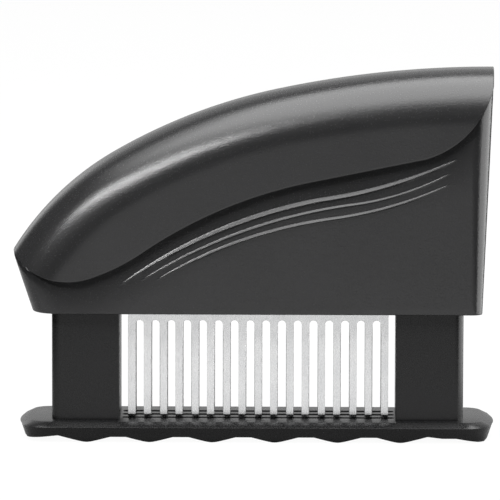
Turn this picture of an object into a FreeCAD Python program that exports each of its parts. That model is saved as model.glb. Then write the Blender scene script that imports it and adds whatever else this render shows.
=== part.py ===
import FreeCAD, Part

"""Blade meat tenderizer: a palm handle with three steel blade combs that plunges through a
spring-loaded guard.

Frame: millimetres, +Z up, the nose of the handle towards -X, the tool symmetric about the XZ plane.
The origin is the middle of the footprint, at the height of the lobes that the guard stands on.
"""

import math
import os

import Sketcher
from FreeCAD import Placement, Rotation, Vector

os.makedirs("parts", exist_ok=True)
doc = FreeCAD.newDocument("blade_tenderizer")


# ---------------------------------------------------------------------------------------------
# Driving dimensions
# ---------------------------------------------------------------------------------------------

DIMENSIONS = {
    # travel of the handle on its guard, and the middle of guard, combs and columns
    "stroke": 22.0,
    "base_centre": 1.3,
    # handle outline: ends, mouth, arch and the crease under the lip
    "nose_x": -76.25,
    "nose_z": 58.7,
    "mouth_nose_x": -69.9,
    "mouth_z": 41.0,
    "mouth_tail_x": 72.6,
    "crown_x": 76.25,
    "crown_z": 117.5,
    "arch_nose_radius": 91.6,
    "arch_middle_radius": 175.5,
    "arch_crown_radius": 320.8,
    "arch_join_x": 6.2,
    "arch_run_on": 24.0,
    "arch_depth": 50.0,
    "crease_nose_radius": 22.3,
    "crease_belly_radius": 65.8,
    "crease_waist_radius": 144.6,
    "crease_tail_radius": 27.4,
    "crease_tail_z": 111.7,
    # handle cross-section
    "cap_half_width": 18.5,
    "side_half_width": 16.6,
    "cap_round": 16.5,
    "nose_corner": 9.0,
    "tail_corner": 4.0,
    "swoosh_height": 0.8,
    "swoosh_half_width": 1.0,
    "upper_swoosh_waist": 139.0,
    "upper_swoosh_head": 188.0,
    "middle_swoosh_waist": 170.0,
    "middle_swoosh_head": 90.0,
    "lower_swoosh_waist": 148.0,
    "lower_swoosh_head": 136.0,
    "side_wall": 2.4,
    "end_wall": 2.6,
    "roof_wall": 2.8,
    "cavity_bevel_width": 6.5,
    "cavity_bevel_height": 5.0,
    # posts inside the handle
    "screw_post_half_width": 3.3,
    "screw_post_inner": 7.4,
    "spring_post_half_width": 5.6,
    "spring_post_z": 76.5,
    "spring_spigot_half_width": 2.4,
    "spring_spigot_length": 5.0,
    # blade carrier
    "carrier_recess": 0.3,
    "carrier_top": 55.6,
    "carrier_gap": 0.1,
    "carrier_corner": 2.0,
    "carrier_roof": 3.0,
    "channel_half_width": 7.2,
    "channel_slack": 0.2,
    # blade combs
    "row_pitch": 6.6,
    "comb_length": 82.4,
    "comb_thickness": 1.0,
    "comb_top": 52.6,
    "tine_count": 17.0,
    "tine_pitch": 5.0,
    "tine_width": 2.4,
    "tine_root": 36.2,
    "tine_tip": 6.0,
    "tip_grind": 0.9,
    "tip_corner": 1.0,
    "edge_grind": 0.35,
    "spacer_bottom": 43.0,
    # fasteners
    "bolt_offset": 30.0,
    "bolt_z": 48.0,
    "bolt_radius": 1.5,
    "bolt_head_height": 2.0,
    "hexagon_radius": 3.1,
    "nut_height": 2.4,
    "screw_radius": 1.5,
    "screw_pilot": 1.45,
    "screw_head_radius": 2.75,
    "screw_head_height": 1.9,
    "screw_clearance": 0.1,
    "carrier_screw_length": 24.0,
    "carrier_screw_x": 36.5,
    "carrier_screw_y": 10.7,
    "column_screw_length": 10.5,
    # columns of the guard
    "column_span": 54.3,
    "column_width": 21.5,
    "column_depth": 24.8,
    "column_wall": 2.2,
    "column_outer_top": 42.7,
    "column_inner_top": 57.8,
    "column_shoulder": 17.2,
    "column_corner": 3.0,
    "column_tenon": 1.2,
    "column_tenon_inset": 2.3,
    "column_floor": 9.4,
    "column_fit": 0.1,
    "column_boss_radius": 3.2,
    "column_boss_top": 16.0,
    "lip_reach": 1.6,
    "lip_height": 2.0,
    "lip_half_depth": 7.0,
    # guard plate
    "plate_half_length": 74.65,
    "plate_half_width": 19.0,
    "plate_end_bow": 72.0,
    "plate_corner": 5.0,
    "plate_undercut": 2.2,
    "plate_rim_z": 4.8,
    "plateau_z": 6.3,
    "plateau_inset": 3.0,
    "slot_length": 85.3,
    "slot_width": 2.2,
    "lobe_pitch": 19.8,
    "first_lobe_x": -52.7,
    "lobe_count": 6.0,
    "lobe_height": 1.7,
    "valley_half_width": 2.1,
    "lobe_foot": 1.5,
    "tail_step_x": 60.7,
    "tail_foot_x": 69.8,
    # return springs
    "spring_mean_radius": 4.3,
    "spring_half_wire": 0.49,
    "spring_turns": 10.0,
    "spring_steps": 8.0,
}

sheet = doc.addObject("Spreadsheet::Sheet", "Dimensions")
for row, (alias, number) in enumerate(DIMENSIONS.items(), start=1):
    sheet.set(f"A{row}", alias)
    sheet.set(f"B{row}", str(number))
    sheet.setAlias(f"B{row}", alias)
doc.recompute()


class Size:
    """A length with its value and the expression that binds it to the sheet."""

    def __init__(self, value, text):
        self.value = value
        self.text = text

    @staticmethod
    def of(other):
        return other if isinstance(other, Size) else Size(float(other), str(other))

    def combine(self, other, sign, value):
        return Size(value, f"({self.text} {sign} {Size.of(other).text})")

    def __add__(self, other):
        return self.combine(other, "+", self.value + Size.of(other).value)

    def __sub__(self, other):
        return self.combine(other, "-", self.value - Size.of(other).value)

    def __mul__(self, other):
        return self.combine(other, "*", self.value * Size.of(other).value)

    def __truediv__(self, other):
        return self.combine(other, "/", self.value / Size.of(other).value)

    def __neg__(self):
        return Size(-self.value, f"(-1 * {self.text})")


class Sheet:
    """The driving dimensions as attributes, each a Size."""

    def __init__(self, names):
        for name in names:
            setattr(self, name, Size(float(sheet.get(name)), f"Dimensions.{name}"))


dim = Sheet(DIMENSIONS)
ZERO = Size(0.0, "0")


# ---------------------------------------------------------------------------------------------
# Sketch and feature helpers
# ---------------------------------------------------------------------------------------------

def new_body(label):
    body = doc.addObject("PartDesign::Body", label)
    body.Label = label
    return body


def origin_feature(body, role):
    return next(item for item in body.Origin.OriginFeatures if item.Role == role)


def new_sketch(body, name, role="XY_Plane", lift=None):
    """Starts a sketch on one of the body's origin planes, lifted along the plane's normal."""
    sketch = body.newObject("Sketcher::SketchObject", name)
    sketch.AttachmentSupport = (origin_feature(body, role), [""])
    sketch.MapMode = "FlatFace"
    if lift is not None:
        sketch.AttachmentOffset = Placement(Vector(0, 0, lift.value), Rotation())
        sketch.setExpression("AttachmentOffset.Base.z", lift.text)
    return sketch


def bound(sketch, kind, *places, size):
    """Adds a dimension to a sketch and binds it to the sheet."""
    index = sketch.addConstraint(Sketcher.Constraint(kind, *places, size.value))
    sketch.setExpression(f"Constraints[{index}]", size.text)


def pin(sketch, geometry, vertex, point):
    """Holds a vertex at its distances from the sketch's origin."""
    bound(sketch, "DistanceX", -1, 1, geometry, vertex, size=point[0])
    bound(sketch, "DistanceY", -1, 1, geometry, vertex, size=point[1])


def flat(point):
    return Vector(point[0].value, point[1].value, 0)


def arc_between(start, end, radius):
    """The short arc from start to end; it bulges to the right of the way for a positive radius."""
    chord = end - start
    normal = Vector(chord.y, -chord.x, 0).normalize() * math.copysign(1.0, radius)
    sagitta = abs(radius) - math.sqrt(radius * radius - chord.Length ** 2 / 4)
    return Part.Arc(start, (start + end) / 2 + normal * sagitta, end)


def outline(sketch, points, arcs=None):
    """Draws a closed outline through points.

    arcs maps an edge's number to its radius, positive where it bulges to the right of the way;
    every other edge is a line.
    """
    arcs = arcs or {}
    count = len(points)
    for number, start in enumerate(points):
        end = points[(number + 1) % count]
        if number in arcs:
            sketch.addGeometry(arc_between(flat(start), flat(end), arcs[number].value))
        else:
            sketch.addGeometry(Part.LineSegment(flat(start), flat(end)))
    for number, start in enumerate(points):
        before = (number - 1) % count
        first_vertex = 2 if runs_backwards(sketch, number, flat(start)) else 1
        last_vertex = 1 if runs_backwards(sketch, before, flat(points[before])) else 2
        sketch.addConstraint(Sketcher.Constraint("Coincident", before, last_vertex, number, first_vertex))
        pin(sketch, number, first_vertex, start)
    for number, radius in arcs.items():
        bound(sketch, "Radius", number, size=radius if radius.value > 0 else -radius)


def runs_backwards(sketch, number, start):
    """True where the sketcher stores an arc from its end to its start."""
    return (sketch.getPoint(number, 2) - start).Length < (sketch.getPoint(number, 1) - start).Length


def rectangle(sketch, left, right, bottom, top):
    first = sketch.GeometryCount
    corners = [(left, bottom), (right, bottom), (right, top), (left, top)]
    for number, start in enumerate(corners):
        sketch.addGeometry(Part.LineSegment(flat(start), flat(corners[(number + 1) % 4])))
    for number, start in enumerate(corners):
        sketch.addConstraint(
            Sketcher.Constraint("Coincident", first + (number - 1) % 4, 2, first + number, 1))
        pin(sketch, first + number, 1, start)


def circle(sketch, x, y, radius):
    number = sketch.addGeometry(Part.Circle(flat((x, y)), Vector(0, 0, 1), radius.value))
    bound(sketch, "Radius", number, size=radius)
    pin(sketch, number, 3, (x, y))


def extrude(body, kind, sketch, length, symmetric=False, reversed_way=False, name=None):
    """Pads or pockets a sketch; a pocket that removes nothing stops the build."""
    before = body.Shape.Volume if body.Tip else 0.0
    feature = body.newObject(f"PartDesign::{kind}", name or f"{sketch.Name}_{kind.lower()}")
    feature.Profile = sketch
    feature.SideType = "Symmetric" if symmetric else "One side"
    feature.Reversed = reversed_way
    feature.Length = length.value
    feature.setExpression("Length", length.text)
    doc.recompute()
    if abs(body.Shape.Volume - before) < 1e-3:
        raise RuntimeError(f"{feature.Name} changed nothing")
    return feature


def pad(body, sketch, length, **options):
    return extrude(body, "Pad", sketch, length, **options)


def pocket(body, sketch, length, **options):
    return extrude(body, "Pocket", sketch, length, **options)


def repeat(body, feature, sketch, axis, pitch, count, name, reversed_way=False):
    """Repeats a feature along one of its sketch's axes."""
    pattern = body.newObject("PartDesign::LinearPattern", name)
    pattern.Originals = [feature]
    pattern.Direction = (sketch, [axis])
    pattern.Reversed = reversed_way
    pattern.Mode = "Spacing"
    pattern.Offset = pitch.value
    pattern.setExpression("Offset", pitch.text)
    pattern.Occurrences = int(count.value)
    pattern.setExpression("Occurrences", count.text)
    body.Tip = pattern
    doc.recompute()
    return pattern


def edges_where(shape, test):
    """Names of the edges whose every sampled point passes the test."""
    names = []
    for number, edge in enumerate(shape.Edges, start=1):
        samples = [edge.valueAt(edge.FirstParameter + part * (edge.LastParameter - edge.FirstParameter))
                   for part in (0.0, 0.5, 1.0)]
        if all(test(point) for point in samples):
            names.append(f"Edge{number}")
    return names


def dress(body, kind, edge_names, size, name):
    """Rounds (Fillet) or bevels (Chamfer) edges of the body's tip."""
    feature = body.newObject(f"PartDesign::{kind}", name)
    feature.Base = (body.Tip if body.Tip != feature else feature.BaseFeature, edge_names)
    prop = "Radius" if kind == "Fillet" else "Size"
    setattr(feature, prop, size.value)
    feature.setExpression(prop, size.text)
    doc.recompute()
    return feature


def boolean(body, kind, tool, name):
    feature = body.newObject("PartDesign::Boolean", name)
    feature.Type = kind
    feature.setObjects([tool])
    doc.recompute()
    return feature


def near(a, b, tolerance=0.05):
    return abs(a - b) < tolerance


def bind_placement(item, x=ZERO, y=ZERO, z=ZERO, axis=None, angle=0.0):
    """Places an object and binds the place to the sheet."""
    rotation = Rotation(axis, angle) if axis else Rotation()
    item.Placement = Placement(Vector(x.value, y.value, z.value), rotation)
    for letter, size in (("x", x), ("y", y), ("z", z)):
        item.setExpression(f"Placement.Base.{letter}", size.text)


# ---------------------------------------------------------------------------------------------
# Places shared by several pieces
# ---------------------------------------------------------------------------------------------

NOSE = (dim.nose_x, dim.nose_z)
CROWN = (dim.crown_x, dim.crown_z)
MOUTH_NOSE = (dim.mouth_nose_x, dim.mouth_z)
MOUTH_TAIL = (dim.mouth_tail_x, dim.mouth_z)
NOSE_SLOPE = (dim.nose_x - dim.mouth_nose_x) / (dim.nose_z - dim.mouth_z)
TAIL_SLOPE = (dim.crown_x - dim.mouth_tail_x) / (dim.crown_z - dim.mouth_z)
SIDES = (("left", -1), ("right", 1))
COLUMN_X = {"left": dim.base_centre - dim.column_span, "right": dim.base_centre + dim.column_span}
ROWS = {"front": -dim.row_pitch, "middle": ZERO, "rear": dim.row_pitch}
BOLT_OFFSETS = (-dim.bolt_offset, dim.bolt_offset)

# Posts in the handle by the ends of the combs: all four bear on the carrier, two take a screw.
CARRIER_POSTS = [(dim.base_centre + dim.carrier_screw_x * sx, sy) for sx in (-1, 1) for sy in (-1, 1)]
CARRIER_SCREWS = [(dim.base_centre + dim.carrier_screw_x * way, dim.carrier_screw_y * way)
                  for way in (-1, 1)]

# A depth that goes through any piece, and how far a cutting outline stands past what it cuts.
THROUGH = dim.plate_half_width * 4
CLEAR = Size(5.0, "5")
ABOVE = dim.crown_z + CLEAR


def plain(points):
    """Turns drawn points into sizes that stand alone."""
    return [(Size(x, str(x)), Size(z, str(z))) for x, z in points]


def end_line(slope, foot, height):
    """The point at a height on the leaning line of an end."""
    return (foot[0] + slope * (height - dim.mouth_z), height)


# The crease under the lip, from the nose round the belly of the lip to the tail: each bend's end.
CREASE = plain([(-52.3, 51.8), (-35.1, 60.3), (18.3, 82.9), (54.5, 90.3)])
CREASE_TAIL = end_line(TAIL_SLOPE, MOUTH_TAIL, dim.crease_tail_z)

# Swooshes: foot, bend and head of each crescent, and the radii up to the bend and from it.
SWOOSHES = {
    "upper": (plain([(-41.4, 50.6), (20.8, 77.5), (64.0, 90.0)]), dim.upper_swoosh_waist, dim.upper_swoosh_head),
    "middle": (plain([(-35.1, 51.9), (31.0, 75.7), (62.0, 85.9)]), dim.middle_swoosh_waist, dim.middle_swoosh_head),
    "lower": (plain([(-30.1, 52.2), (24.2, 71.2), (61.8, 82.2)]), dim.lower_swoosh_waist, dim.lower_swoosh_head),
}


# ---------------------------------------------------------------------------------------------
# Handle
# ---------------------------------------------------------------------------------------------

# A block under the arch, past the reach of the swept section.
BELOW_ARCH = plain([(-45.0, 30.0), (105.0, 30.0), (105.0, 75.0), (0.0, 70.0), (-45.0, 52.0)])


def touching_centre(centre, radius, inner_radius, point):
    """Centre of a smaller arc that touches a larger one from inside and ends at a point."""
    span = point - centre
    reach = radius - inner_radius
    along = (reach ** 2 - inner_radius ** 2 + span.Length ** 2) / (2 * span.Length)
    across = math.sqrt(reach ** 2 - along ** 2)
    way = span.normalize()
    return centre + way * along + Vector(way.y, -way.x, 0) * across


def arch_spine(body):
    """The line of the arch's crest: three tangent arcs, run on straight past both ends."""
    sketch = new_sketch(body, f"{body.Name}_spine", "XZ_Plane")
    radii = (dim.arch_crown_radius, dim.arch_middle_radius, dim.arch_nose_radius)
    crown = flat(CROWN)
    nose = flat(NOSE)
    crown_centre = crown - Vector(0, radii[0].value, 0)
    offset = dim.arch_join_x.value - crown_centre.x
    rear_join = Vector(dim.arch_join_x.value, crown_centre.y + math.sqrt(radii[0].value ** 2 - offset ** 2), 0)
    middle_centre = rear_join + (crown_centre - rear_join).normalize() * radii[1].value
    nose_centre = touching_centre(middle_centre, radii[1].value, radii[2].value, nose)
    front_join = middle_centre + (nose_centre - middle_centre).normalize() * radii[1].value
    lean = (nose - nose_centre).normalize()
    run_out = nose + Vector(-lean.y, lean.x, 0) * dim.arch_run_on.value
    run_in = (dim.crown_x + dim.arch_run_on, dim.crown_z)

    stops = [flat(run_in), crown, rear_join, front_join, nose, run_out]
    sketch.addGeometry(Part.LineSegment(stops[0], stops[1]))
    for number, radius in enumerate(radii, start=1):
        sketch.addGeometry(arc_between(stops[number], stops[number + 1], radius.value))
    sketch.addGeometry(Part.LineSegment(stops[4], stops[5]))
    first = [2 if runs_backwards(sketch, number, stops[number]) else 1 for number in range(5)]
    for number in range(4):
        sketch.addConstraint(Sketcher.Constraint(
            "Tangent", number, 3 - first[number], number + 1, first[number + 1]))
    pin(sketch, 0, first[0], run_in)
    pin(sketch, 1, first[1], CROWN)
    pin(sketch, 4, first[4], NOSE)
    bound(sketch, "DistanceX", -1, 1, 2, first[2], size=dim.arch_join_x)
    for number, radius in enumerate(radii, start=1):
        bound(sketch, "Radius", number, size=radius)
    bound(sketch, "Distance", 4, size=dim.arch_run_on)
    return sketch


def arch_sweep(label, half_width, corner, inset, rounded):
    """A section swept under the arch, inset from its crest, down past the mouth.

    corner is the width and height of its shoulders, which are rounded or else bevelled.
    """
    body = new_body(label)
    spine = arch_spine(body)
    section = new_sketch(body, f"{label}_section", "YZ_Plane", dim.crown_x + dim.arch_run_on)
    top = dim.crown_z - inset
    shoulder = top - corner[1]
    foot = dim.crown_z - dim.arch_depth
    crest = half_width - corner[0]
    outline(section,
            [(-half_width, foot), (half_width, foot), (half_width, shoulder), (crest, top),
             (-crest, top), (-half_width, shoulder)],
            arcs={2: corner[0], 4: corner[0]} if rounded else None)
    doc.recompute()
    pipe = body.newObject("PartDesign::AdditivePipe", f"{label}_pipe")
    pipe.Profile = section
    pipe.Spine = (spine, [])
    pipe.Mode = "Standard"
    doc.recompute()
    below = new_sketch(body, f"{label}_below", "XZ_Plane")
    outline(below, BELOW_ARCH)
    pad(body, below, half_width * 2, symmetric=True)
    return body


def handle_cavity():
    """The hollow of the handle, with the posts left standing in it."""
    room = new_body("cavity_room")
    sketch = new_sketch(room, "cavity_outline", "XZ_Plane")
    below = dim.mouth_z - CLEAR
    corners = [end_line(NOSE_SLOPE, MOUTH_NOSE, below), end_line(TAIL_SLOPE, MOUTH_TAIL, below),
               end_line(TAIL_SLOPE, MOUTH_TAIL, ABOVE), end_line(NOSE_SLOPE, MOUTH_NOSE, ABOVE)]
    walls = (dim.end_wall, -dim.end_wall, -dim.end_wall, dim.end_wall)
    outline(sketch, [(x + wall, z) for (x, z), wall in zip(corners, walls)])
    pad(room, sketch, (dim.side_half_width - dim.side_wall) * 2, symmetric=True)
    sweep = arch_sweep("cavity_sweep", dim.side_half_width - dim.side_wall,
                       (dim.cavity_bevel_width, dim.cavity_bevel_height), dim.roof_wall, rounded=False)
    boolean(room, "Common", sweep, "cavity_trim")

    posts = new_sketch(room, "screw_posts", "XY_Plane", dim.carrier_top)
    reach = dim.side_half_width
    for x, way in CARRIER_POSTS:
        bottom, top = (dim.screw_post_inner, reach) if way > 0 else (-reach, -dim.screw_post_inner)
        rectangle(posts, x - dim.screw_post_half_width, x + dim.screw_post_half_width, bottom, top)
    pocket(room, posts, dim.crown_z, reversed_way=True)
    for name, half, level in (
            ("spring_posts", dim.spring_post_half_width, dim.spring_post_z),
            ("spring_spigots", dim.spring_spigot_half_width, dim.spring_post_z - dim.spring_spigot_length)):
        springs = new_sketch(room, name, "XY_Plane", level)
        for side, _ in SIDES:
            rectangle(springs, COLUMN_X[side] - half, COLUMN_X[side] + half, -half, half)
        pocket(room, springs, dim.crown_z, reversed_way=True)
    return room


def handle_shell():
    """The moulded handle: lower body, lipped cap, swooshes, half-round arch and hollow."""
    body = new_body("handle_shell")
    core = new_sketch(body, "core_outline", "XZ_Plane")
    outline(core, [MOUTH_NOSE, MOUTH_TAIL, end_line(TAIL_SLOPE, MOUTH_TAIL, ABOVE),
                   end_line(NOSE_SLOPE, MOUTH_NOSE, ABOVE)])
    pad(body, core, dim.side_half_width * 2, symmetric=True)

    for label, way, slope, foot, corner in (
            ("nose", -1, NOSE_SLOPE, MOUTH_NOSE, dim.nose_corner),
            ("tail", 1, TAIL_SLOPE, MOUTH_TAIL, dim.tail_corner)):
        def on_end(point, way=way, slope=slope, foot=foot):
            line = foot[0].value + slope.value * (point.z - foot[1].value)
            upright = near(abs(point.y), dim.side_half_width.value) and point.x * way > 0
            return upright and near(point.x, line)
        dress(body, "Fillet", edges_where(body.Shape, on_end), corner, f"{label}_corners")

    cap = new_sketch(body, "cap_outline", "XZ_Plane")
    outline(cap, [NOSE, *CREASE, CREASE_TAIL, CROWN, (CROWN[0], ABOVE), (NOSE[0], ABOVE)],
            arcs={0: dim.crease_nose_radius, 1: dim.crease_belly_radius, 2: -dim.crease_waist_radius,
                  4: dim.crease_tail_radius})
    pad(body, cap, dim.cap_half_width * 2, symmetric=True)

    for name, ((foot, bend, head), waist, top) in SWOOSHES.items():
        crescent = new_sketch(body, f"{name}_swoosh", "XZ_Plane")
        above = (bend[0], bend[1] + dim.swoosh_half_width)
        below = (bend[0], bend[1] - dim.swoosh_half_width)
        outline(crescent, [foot, above, head, below], arcs={0: -waist, 1: top, 2: -top, 3: waist})
        pad(body, crescent, (dim.side_half_width + dim.swoosh_height) * 2, symmetric=True)

    trim = arch_sweep("arch_sweep", dim.cap_half_width, (dim.cap_round, dim.cap_round), ZERO, rounded=True)
    boolean(body, "Common", trim, "arch_trim")
    boolean(body, "Cut", handle_cavity(), "hollow")

    pilots = new_sketch(body, "post_pilots", "XY_Plane", dim.carrier_top)
    for x, y in CARRIER_SCREWS:
        circle(pilots, x, y, dim.screw_pilot)
    pocket(body, pilots, dim.carrier_screw_length / 2, reversed_way=True)
    return body


# ---------------------------------------------------------------------------------------------
# Blade carrier and the blade pack
# ---------------------------------------------------------------------------------------------

def blade_carrier():
    """The block that closes the mouth, clamps the combs and guides the columns."""
    body = new_body("blade_carrier")
    bottom = dim.mouth_z + dim.carrier_recess
    half_width = dim.side_half_width - dim.side_wall - dim.carrier_gap
    left = dim.mouth_nose_x + dim.end_wall + dim.carrier_gap
    right = dim.mouth_tail_x - dim.end_wall - dim.carrier_gap
    block = new_sketch(body, "carrier_outline", "XY_Plane", bottom)
    rectangle(block, left, right, -half_width, half_width)
    pad(body, block, dim.carrier_top - bottom)

    def corner(point):
        return near(abs(point.y), half_width.value) and (
            near(point.x, left.value) or near(point.x, right.value))

    dress(body, "Chamfer", edges_where(body.Shape, corner), dim.carrier_corner, "carrier_corners")

    wells = new_sketch(body, "column_wells", "XY_Plane", bottom)
    for side, _ in SIDES:
        reach = dim.column_width / 2 + dim.column_fit
        depth = dim.column_depth / 2 + dim.column_fit
        rectangle(wells, COLUMN_X[side] - reach, COLUMN_X[side] + reach, -depth, depth)
    pocket(body, wells, dim.carrier_top, reversed_way=True)

    channel = new_sketch(body, "comb_channel", "XY_Plane", bottom)
    length = dim.comb_length / 2 + dim.channel_slack
    rectangle(channel, dim.base_centre - length, dim.base_centre + length,
              -dim.channel_half_width, dim.channel_half_width)
    pocket(body, channel, dim.carrier_top - dim.carrier_roof - bottom, reversed_way=True)

    bolts = new_sketch(body, "bolt_holes", "XZ_Plane")
    for offset in BOLT_OFFSETS:
        circle(bolts, dim.base_centre + offset, dim.bolt_z, dim.bolt_radius + dim.screw_clearance)
    pocket(body, bolts, THROUGH, symmetric=True)
    heads = new_sketch(body, "bolt_head_seats", "XZ_Plane", half_width)
    for offset in BOLT_OFFSETS:
        hexagon(heads, dim.base_centre + offset, dim.bolt_z, dim.hexagon_radius + dim.screw_clearance)
    pocket(body, heads, dim.bolt_head_height + dim.screw_clearance)
    nuts = new_sketch(body, "nut_seats", "XZ_Plane", -half_width)
    for offset in BOLT_OFFSETS:
        hexagon(nuts, dim.base_centre + offset, dim.bolt_z, dim.hexagon_radius + dim.screw_clearance)
    pocket(body, nuts, dim.nut_height + dim.screw_clearance, reversed_way=True)

    screws = new_sketch(body, "screw_holes", "XY_Plane", bottom)
    for x, y in CARRIER_SCREWS:
        circle(screws, x, y, dim.screw_radius + dim.screw_clearance)
    pocket(body, screws, dim.carrier_top, reversed_way=True)
    seats = new_sketch(body, "screw_head_seats", "XY_Plane", bottom)
    for x, y in CARRIER_SCREWS:
        circle(seats, x, y, dim.screw_head_radius + dim.screw_clearance)
    pocket(body, seats, dim.screw_head_height + dim.carrier_recess, reversed_way=True)
    return body


def hexagon(sketch, x, y, radius):
    """A hexagon with its points at the radius, flats up and down."""
    half = radius / 2
    rise = radius * round(math.sqrt(3) / 2, 6)
    corners = [(x + radius, y), (x + half, y + rise), (x - half, y + rise),
               (x - radius, y), (x - half, y - rise), (x + half, y - rise)]
    first = sketch.GeometryCount
    count = len(corners)
    for number, start in enumerate(corners):
        sketch.addGeometry(Part.LineSegment(flat(start), flat(corners[(number + 1) % count])))
    for number, start in enumerate(corners):
        sketch.addConstraint(
            Sketcher.Constraint("Coincident", first + (number - 1) % count, 2, first + number, 1))
        pin(sketch, first + number, 1, start)


# Facets of the punched round at the top of each slot between tines.
SLOT_STEPS = 3


def blade_comb(row):
    """One stamped comb: a strip, round-topped slots between tines, ground tips and edges."""
    body = new_body(f"blade_comb_{row}")
    half = dim.comb_length / 2
    half_tine = dim.tine_width / 2
    notch = (dim.tine_pitch - dim.tine_width) / 2
    first = -half + half_tine

    strip = new_sketch(body, f"strip_{row}", "XZ_Plane")
    rectangle(strip, -half, half, dim.tine_root, dim.comb_top)
    pad(body, strip, dim.comb_thickness, symmetric=True)

    tops = new_sketch(body, f"slot_top_{row}", "XZ_Plane")
    centre = first + dim.tine_pitch / 2
    outline(tops, [(centre + notch * round(math.cos(angle), 6), dim.tine_root + notch * round(math.sin(angle), 6))
                   for angle in (math.pi * step / SLOT_STEPS for step in range(SLOT_STEPS + 1))])
    cut = pocket(body, tops, THROUGH, symmetric=True)
    repeat(body, cut, tops, "H_Axis", dim.tine_pitch, dim.tine_count - 1, f"slot_tops_{row}")

    tine = new_sketch(body, f"tine_outline_{row}", "XZ_Plane")
    rectangle(tine, first - half_tine, first + half_tine, dim.tine_tip, dim.tine_root)
    blade = pad(body, tine, dim.comb_thickness, symmetric=True)
    repeat(body, blade, tine, "H_Axis", dim.tine_pitch, dim.tine_count, f"tines_{row}")

    grind = new_sketch(body, f"tip_grind_{row}", "YZ_Plane")
    face = dim.comb_thickness / 2
    outline(grind, [(-face - CLEAR, dim.tine_tip - CLEAR), (face, dim.tine_tip),
                    (-face, dim.tine_tip + dim.tip_grind), (-face - CLEAR, dim.tine_tip + dim.tip_grind)])
    pocket(body, grind, dim.comb_length * 2, symmetric=True)

    # Neighbouring tines face each other in pairs with a ground edge and a cut corner.
    pair = dim.tine_pitch * 2
    edge = first + dim.tine_pitch + half_tine
    facing = edge + notch * 2
    corners = new_sketch(body, f"tip_corner_{row}", "XZ_Plane")
    outline(corners, [(edge - dim.tip_corner, dim.tine_tip), (facing + dim.tip_corner, dim.tine_tip),
                      (facing, dim.tine_tip + dim.tip_corner), (edge, dim.tine_tip + dim.tip_corner)])
    cut = pocket(body, corners, THROUGH, symmetric=True)
    repeat(body, cut, corners, "H_Axis", pair, (dim.tine_count - 1) / 2, f"tip_corners_{row}")

    bevel = new_sketch(body, f"edge_grind_{row}", "XY_Plane", dim.tine_tip)
    outline(bevel, [(edge - dim.edge_grind, -face), (edge, -face + dim.edge_grind),
                    (facing, -face + dim.edge_grind), (facing + dim.edge_grind, -face)])
    cut = pocket(body, bevel, dim.tine_root - dim.tine_tip - notch, reversed_way=True)
    repeat(body, cut, bevel, "H_Axis", pair, (dim.tine_count - 1) / 2, f"edge_grinds_{row}")

    holes = new_sketch(body, f"comb_holes_{row}", "XZ_Plane")
    for offset in BOLT_OFFSETS:
        circle(holes, offset, dim.bolt_z, dim.bolt_radius + dim.screw_clearance)
    pocket(body, holes, THROUGH, symmetric=True)
    bind_placement(body, dim.base_centre, ROWS[row])
    return body


def comb_spacer(row, side):
    """The bar between two combs."""
    body = new_body(f"comb_spacer_{row}")
    thickness = dim.row_pitch - dim.comb_thickness
    half = dim.comb_length / 2
    bar = new_sketch(body, f"spacer_outline_{row}", "XZ_Plane")
    rectangle(bar, -half, half, dim.spacer_bottom, dim.comb_top)
    pad(body, bar, thickness, symmetric=True)
    holes = new_sketch(body, f"spacer_holes_{row}", "XZ_Plane")
    for offset in BOLT_OFFSETS:
        circle(holes, offset, dim.bolt_z, dim.bolt_radius + dim.screw_clearance)
    pocket(body, holes, THROUGH, symmetric=True)
    bind_placement(body, dim.base_centre, dim.row_pitch / 2 * side)
    return body


# ---------------------------------------------------------------------------------------------
# Fasteners: each group is one node of separate solids
# ---------------------------------------------------------------------------------------------

def cylinder(name, radius, height, **place):
    item = doc.addObject("Part::Cylinder", name)
    item.Radius = radius.value
    item.setExpression("Radius", radius.text)
    item.Height = height.value
    item.setExpression("Height", height.text)
    bind_placement(item, **place)
    return item


def prism(name, radius, height, **place):
    item = doc.addObject("Part::Prism", name)
    item.Polygon = 6
    item.Circumradius = radius.value
    item.setExpression("Circumradius", radius.text)
    item.Height = height.value
    item.setExpression("Height", height.text)
    bind_placement(item, **place)
    return item


def join(kind, name, base, tool):
    item = doc.addObject(f"Part::{kind}", name)
    item.Base = base
    item.Tool = tool
    return item


def group(label, items):
    item = doc.addObject("Part::Compound", label)
    item.Label = label
    item.Links = items
    bind_placement(item)
    return item


def upright_screw(name, x, y, seat, length):
    """A screw that points up, its hexagon head under the seat."""
    head = prism(f"{name}_head", dim.screw_head_radius, dim.screw_head_height,
                 x=x, y=y, z=seat - dim.screw_head_height)
    shank = cylinder(f"{name}_shank", dim.screw_radius, length, x=x, y=y, z=seat)
    return join("Fuse", name, head, shank)


def clamp_bolts():
    """Two hexagon-head cross bolts; their heads sit in the front cheek of the carrier."""
    axis = Vector(1, 0, 0)
    half_width = dim.side_half_width - dim.side_wall - dim.carrier_gap
    seat = -half_width + dim.bolt_head_height
    length = half_width * 2 - dim.bolt_head_height - dim.screw_clearance
    bolts = []
    for number, offset in enumerate(BOLT_OFFSETS, start=1):
        name = f"clamp_bolt_{number}"
        x = dim.base_centre + offset
        head = prism(f"{name}_head", dim.hexagon_radius, dim.bolt_head_height,
                     x=x, y=seat, z=dim.bolt_z, axis=axis, angle=90.0)
        shank = cylinder(f"{name}_shank", dim.bolt_radius, length,
                         x=x, y=seat + length, z=dim.bolt_z, axis=axis, angle=90.0)
        bolts.append(join("Fuse", name, head, shank))
    return group("clamp_bolts", bolts)


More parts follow.
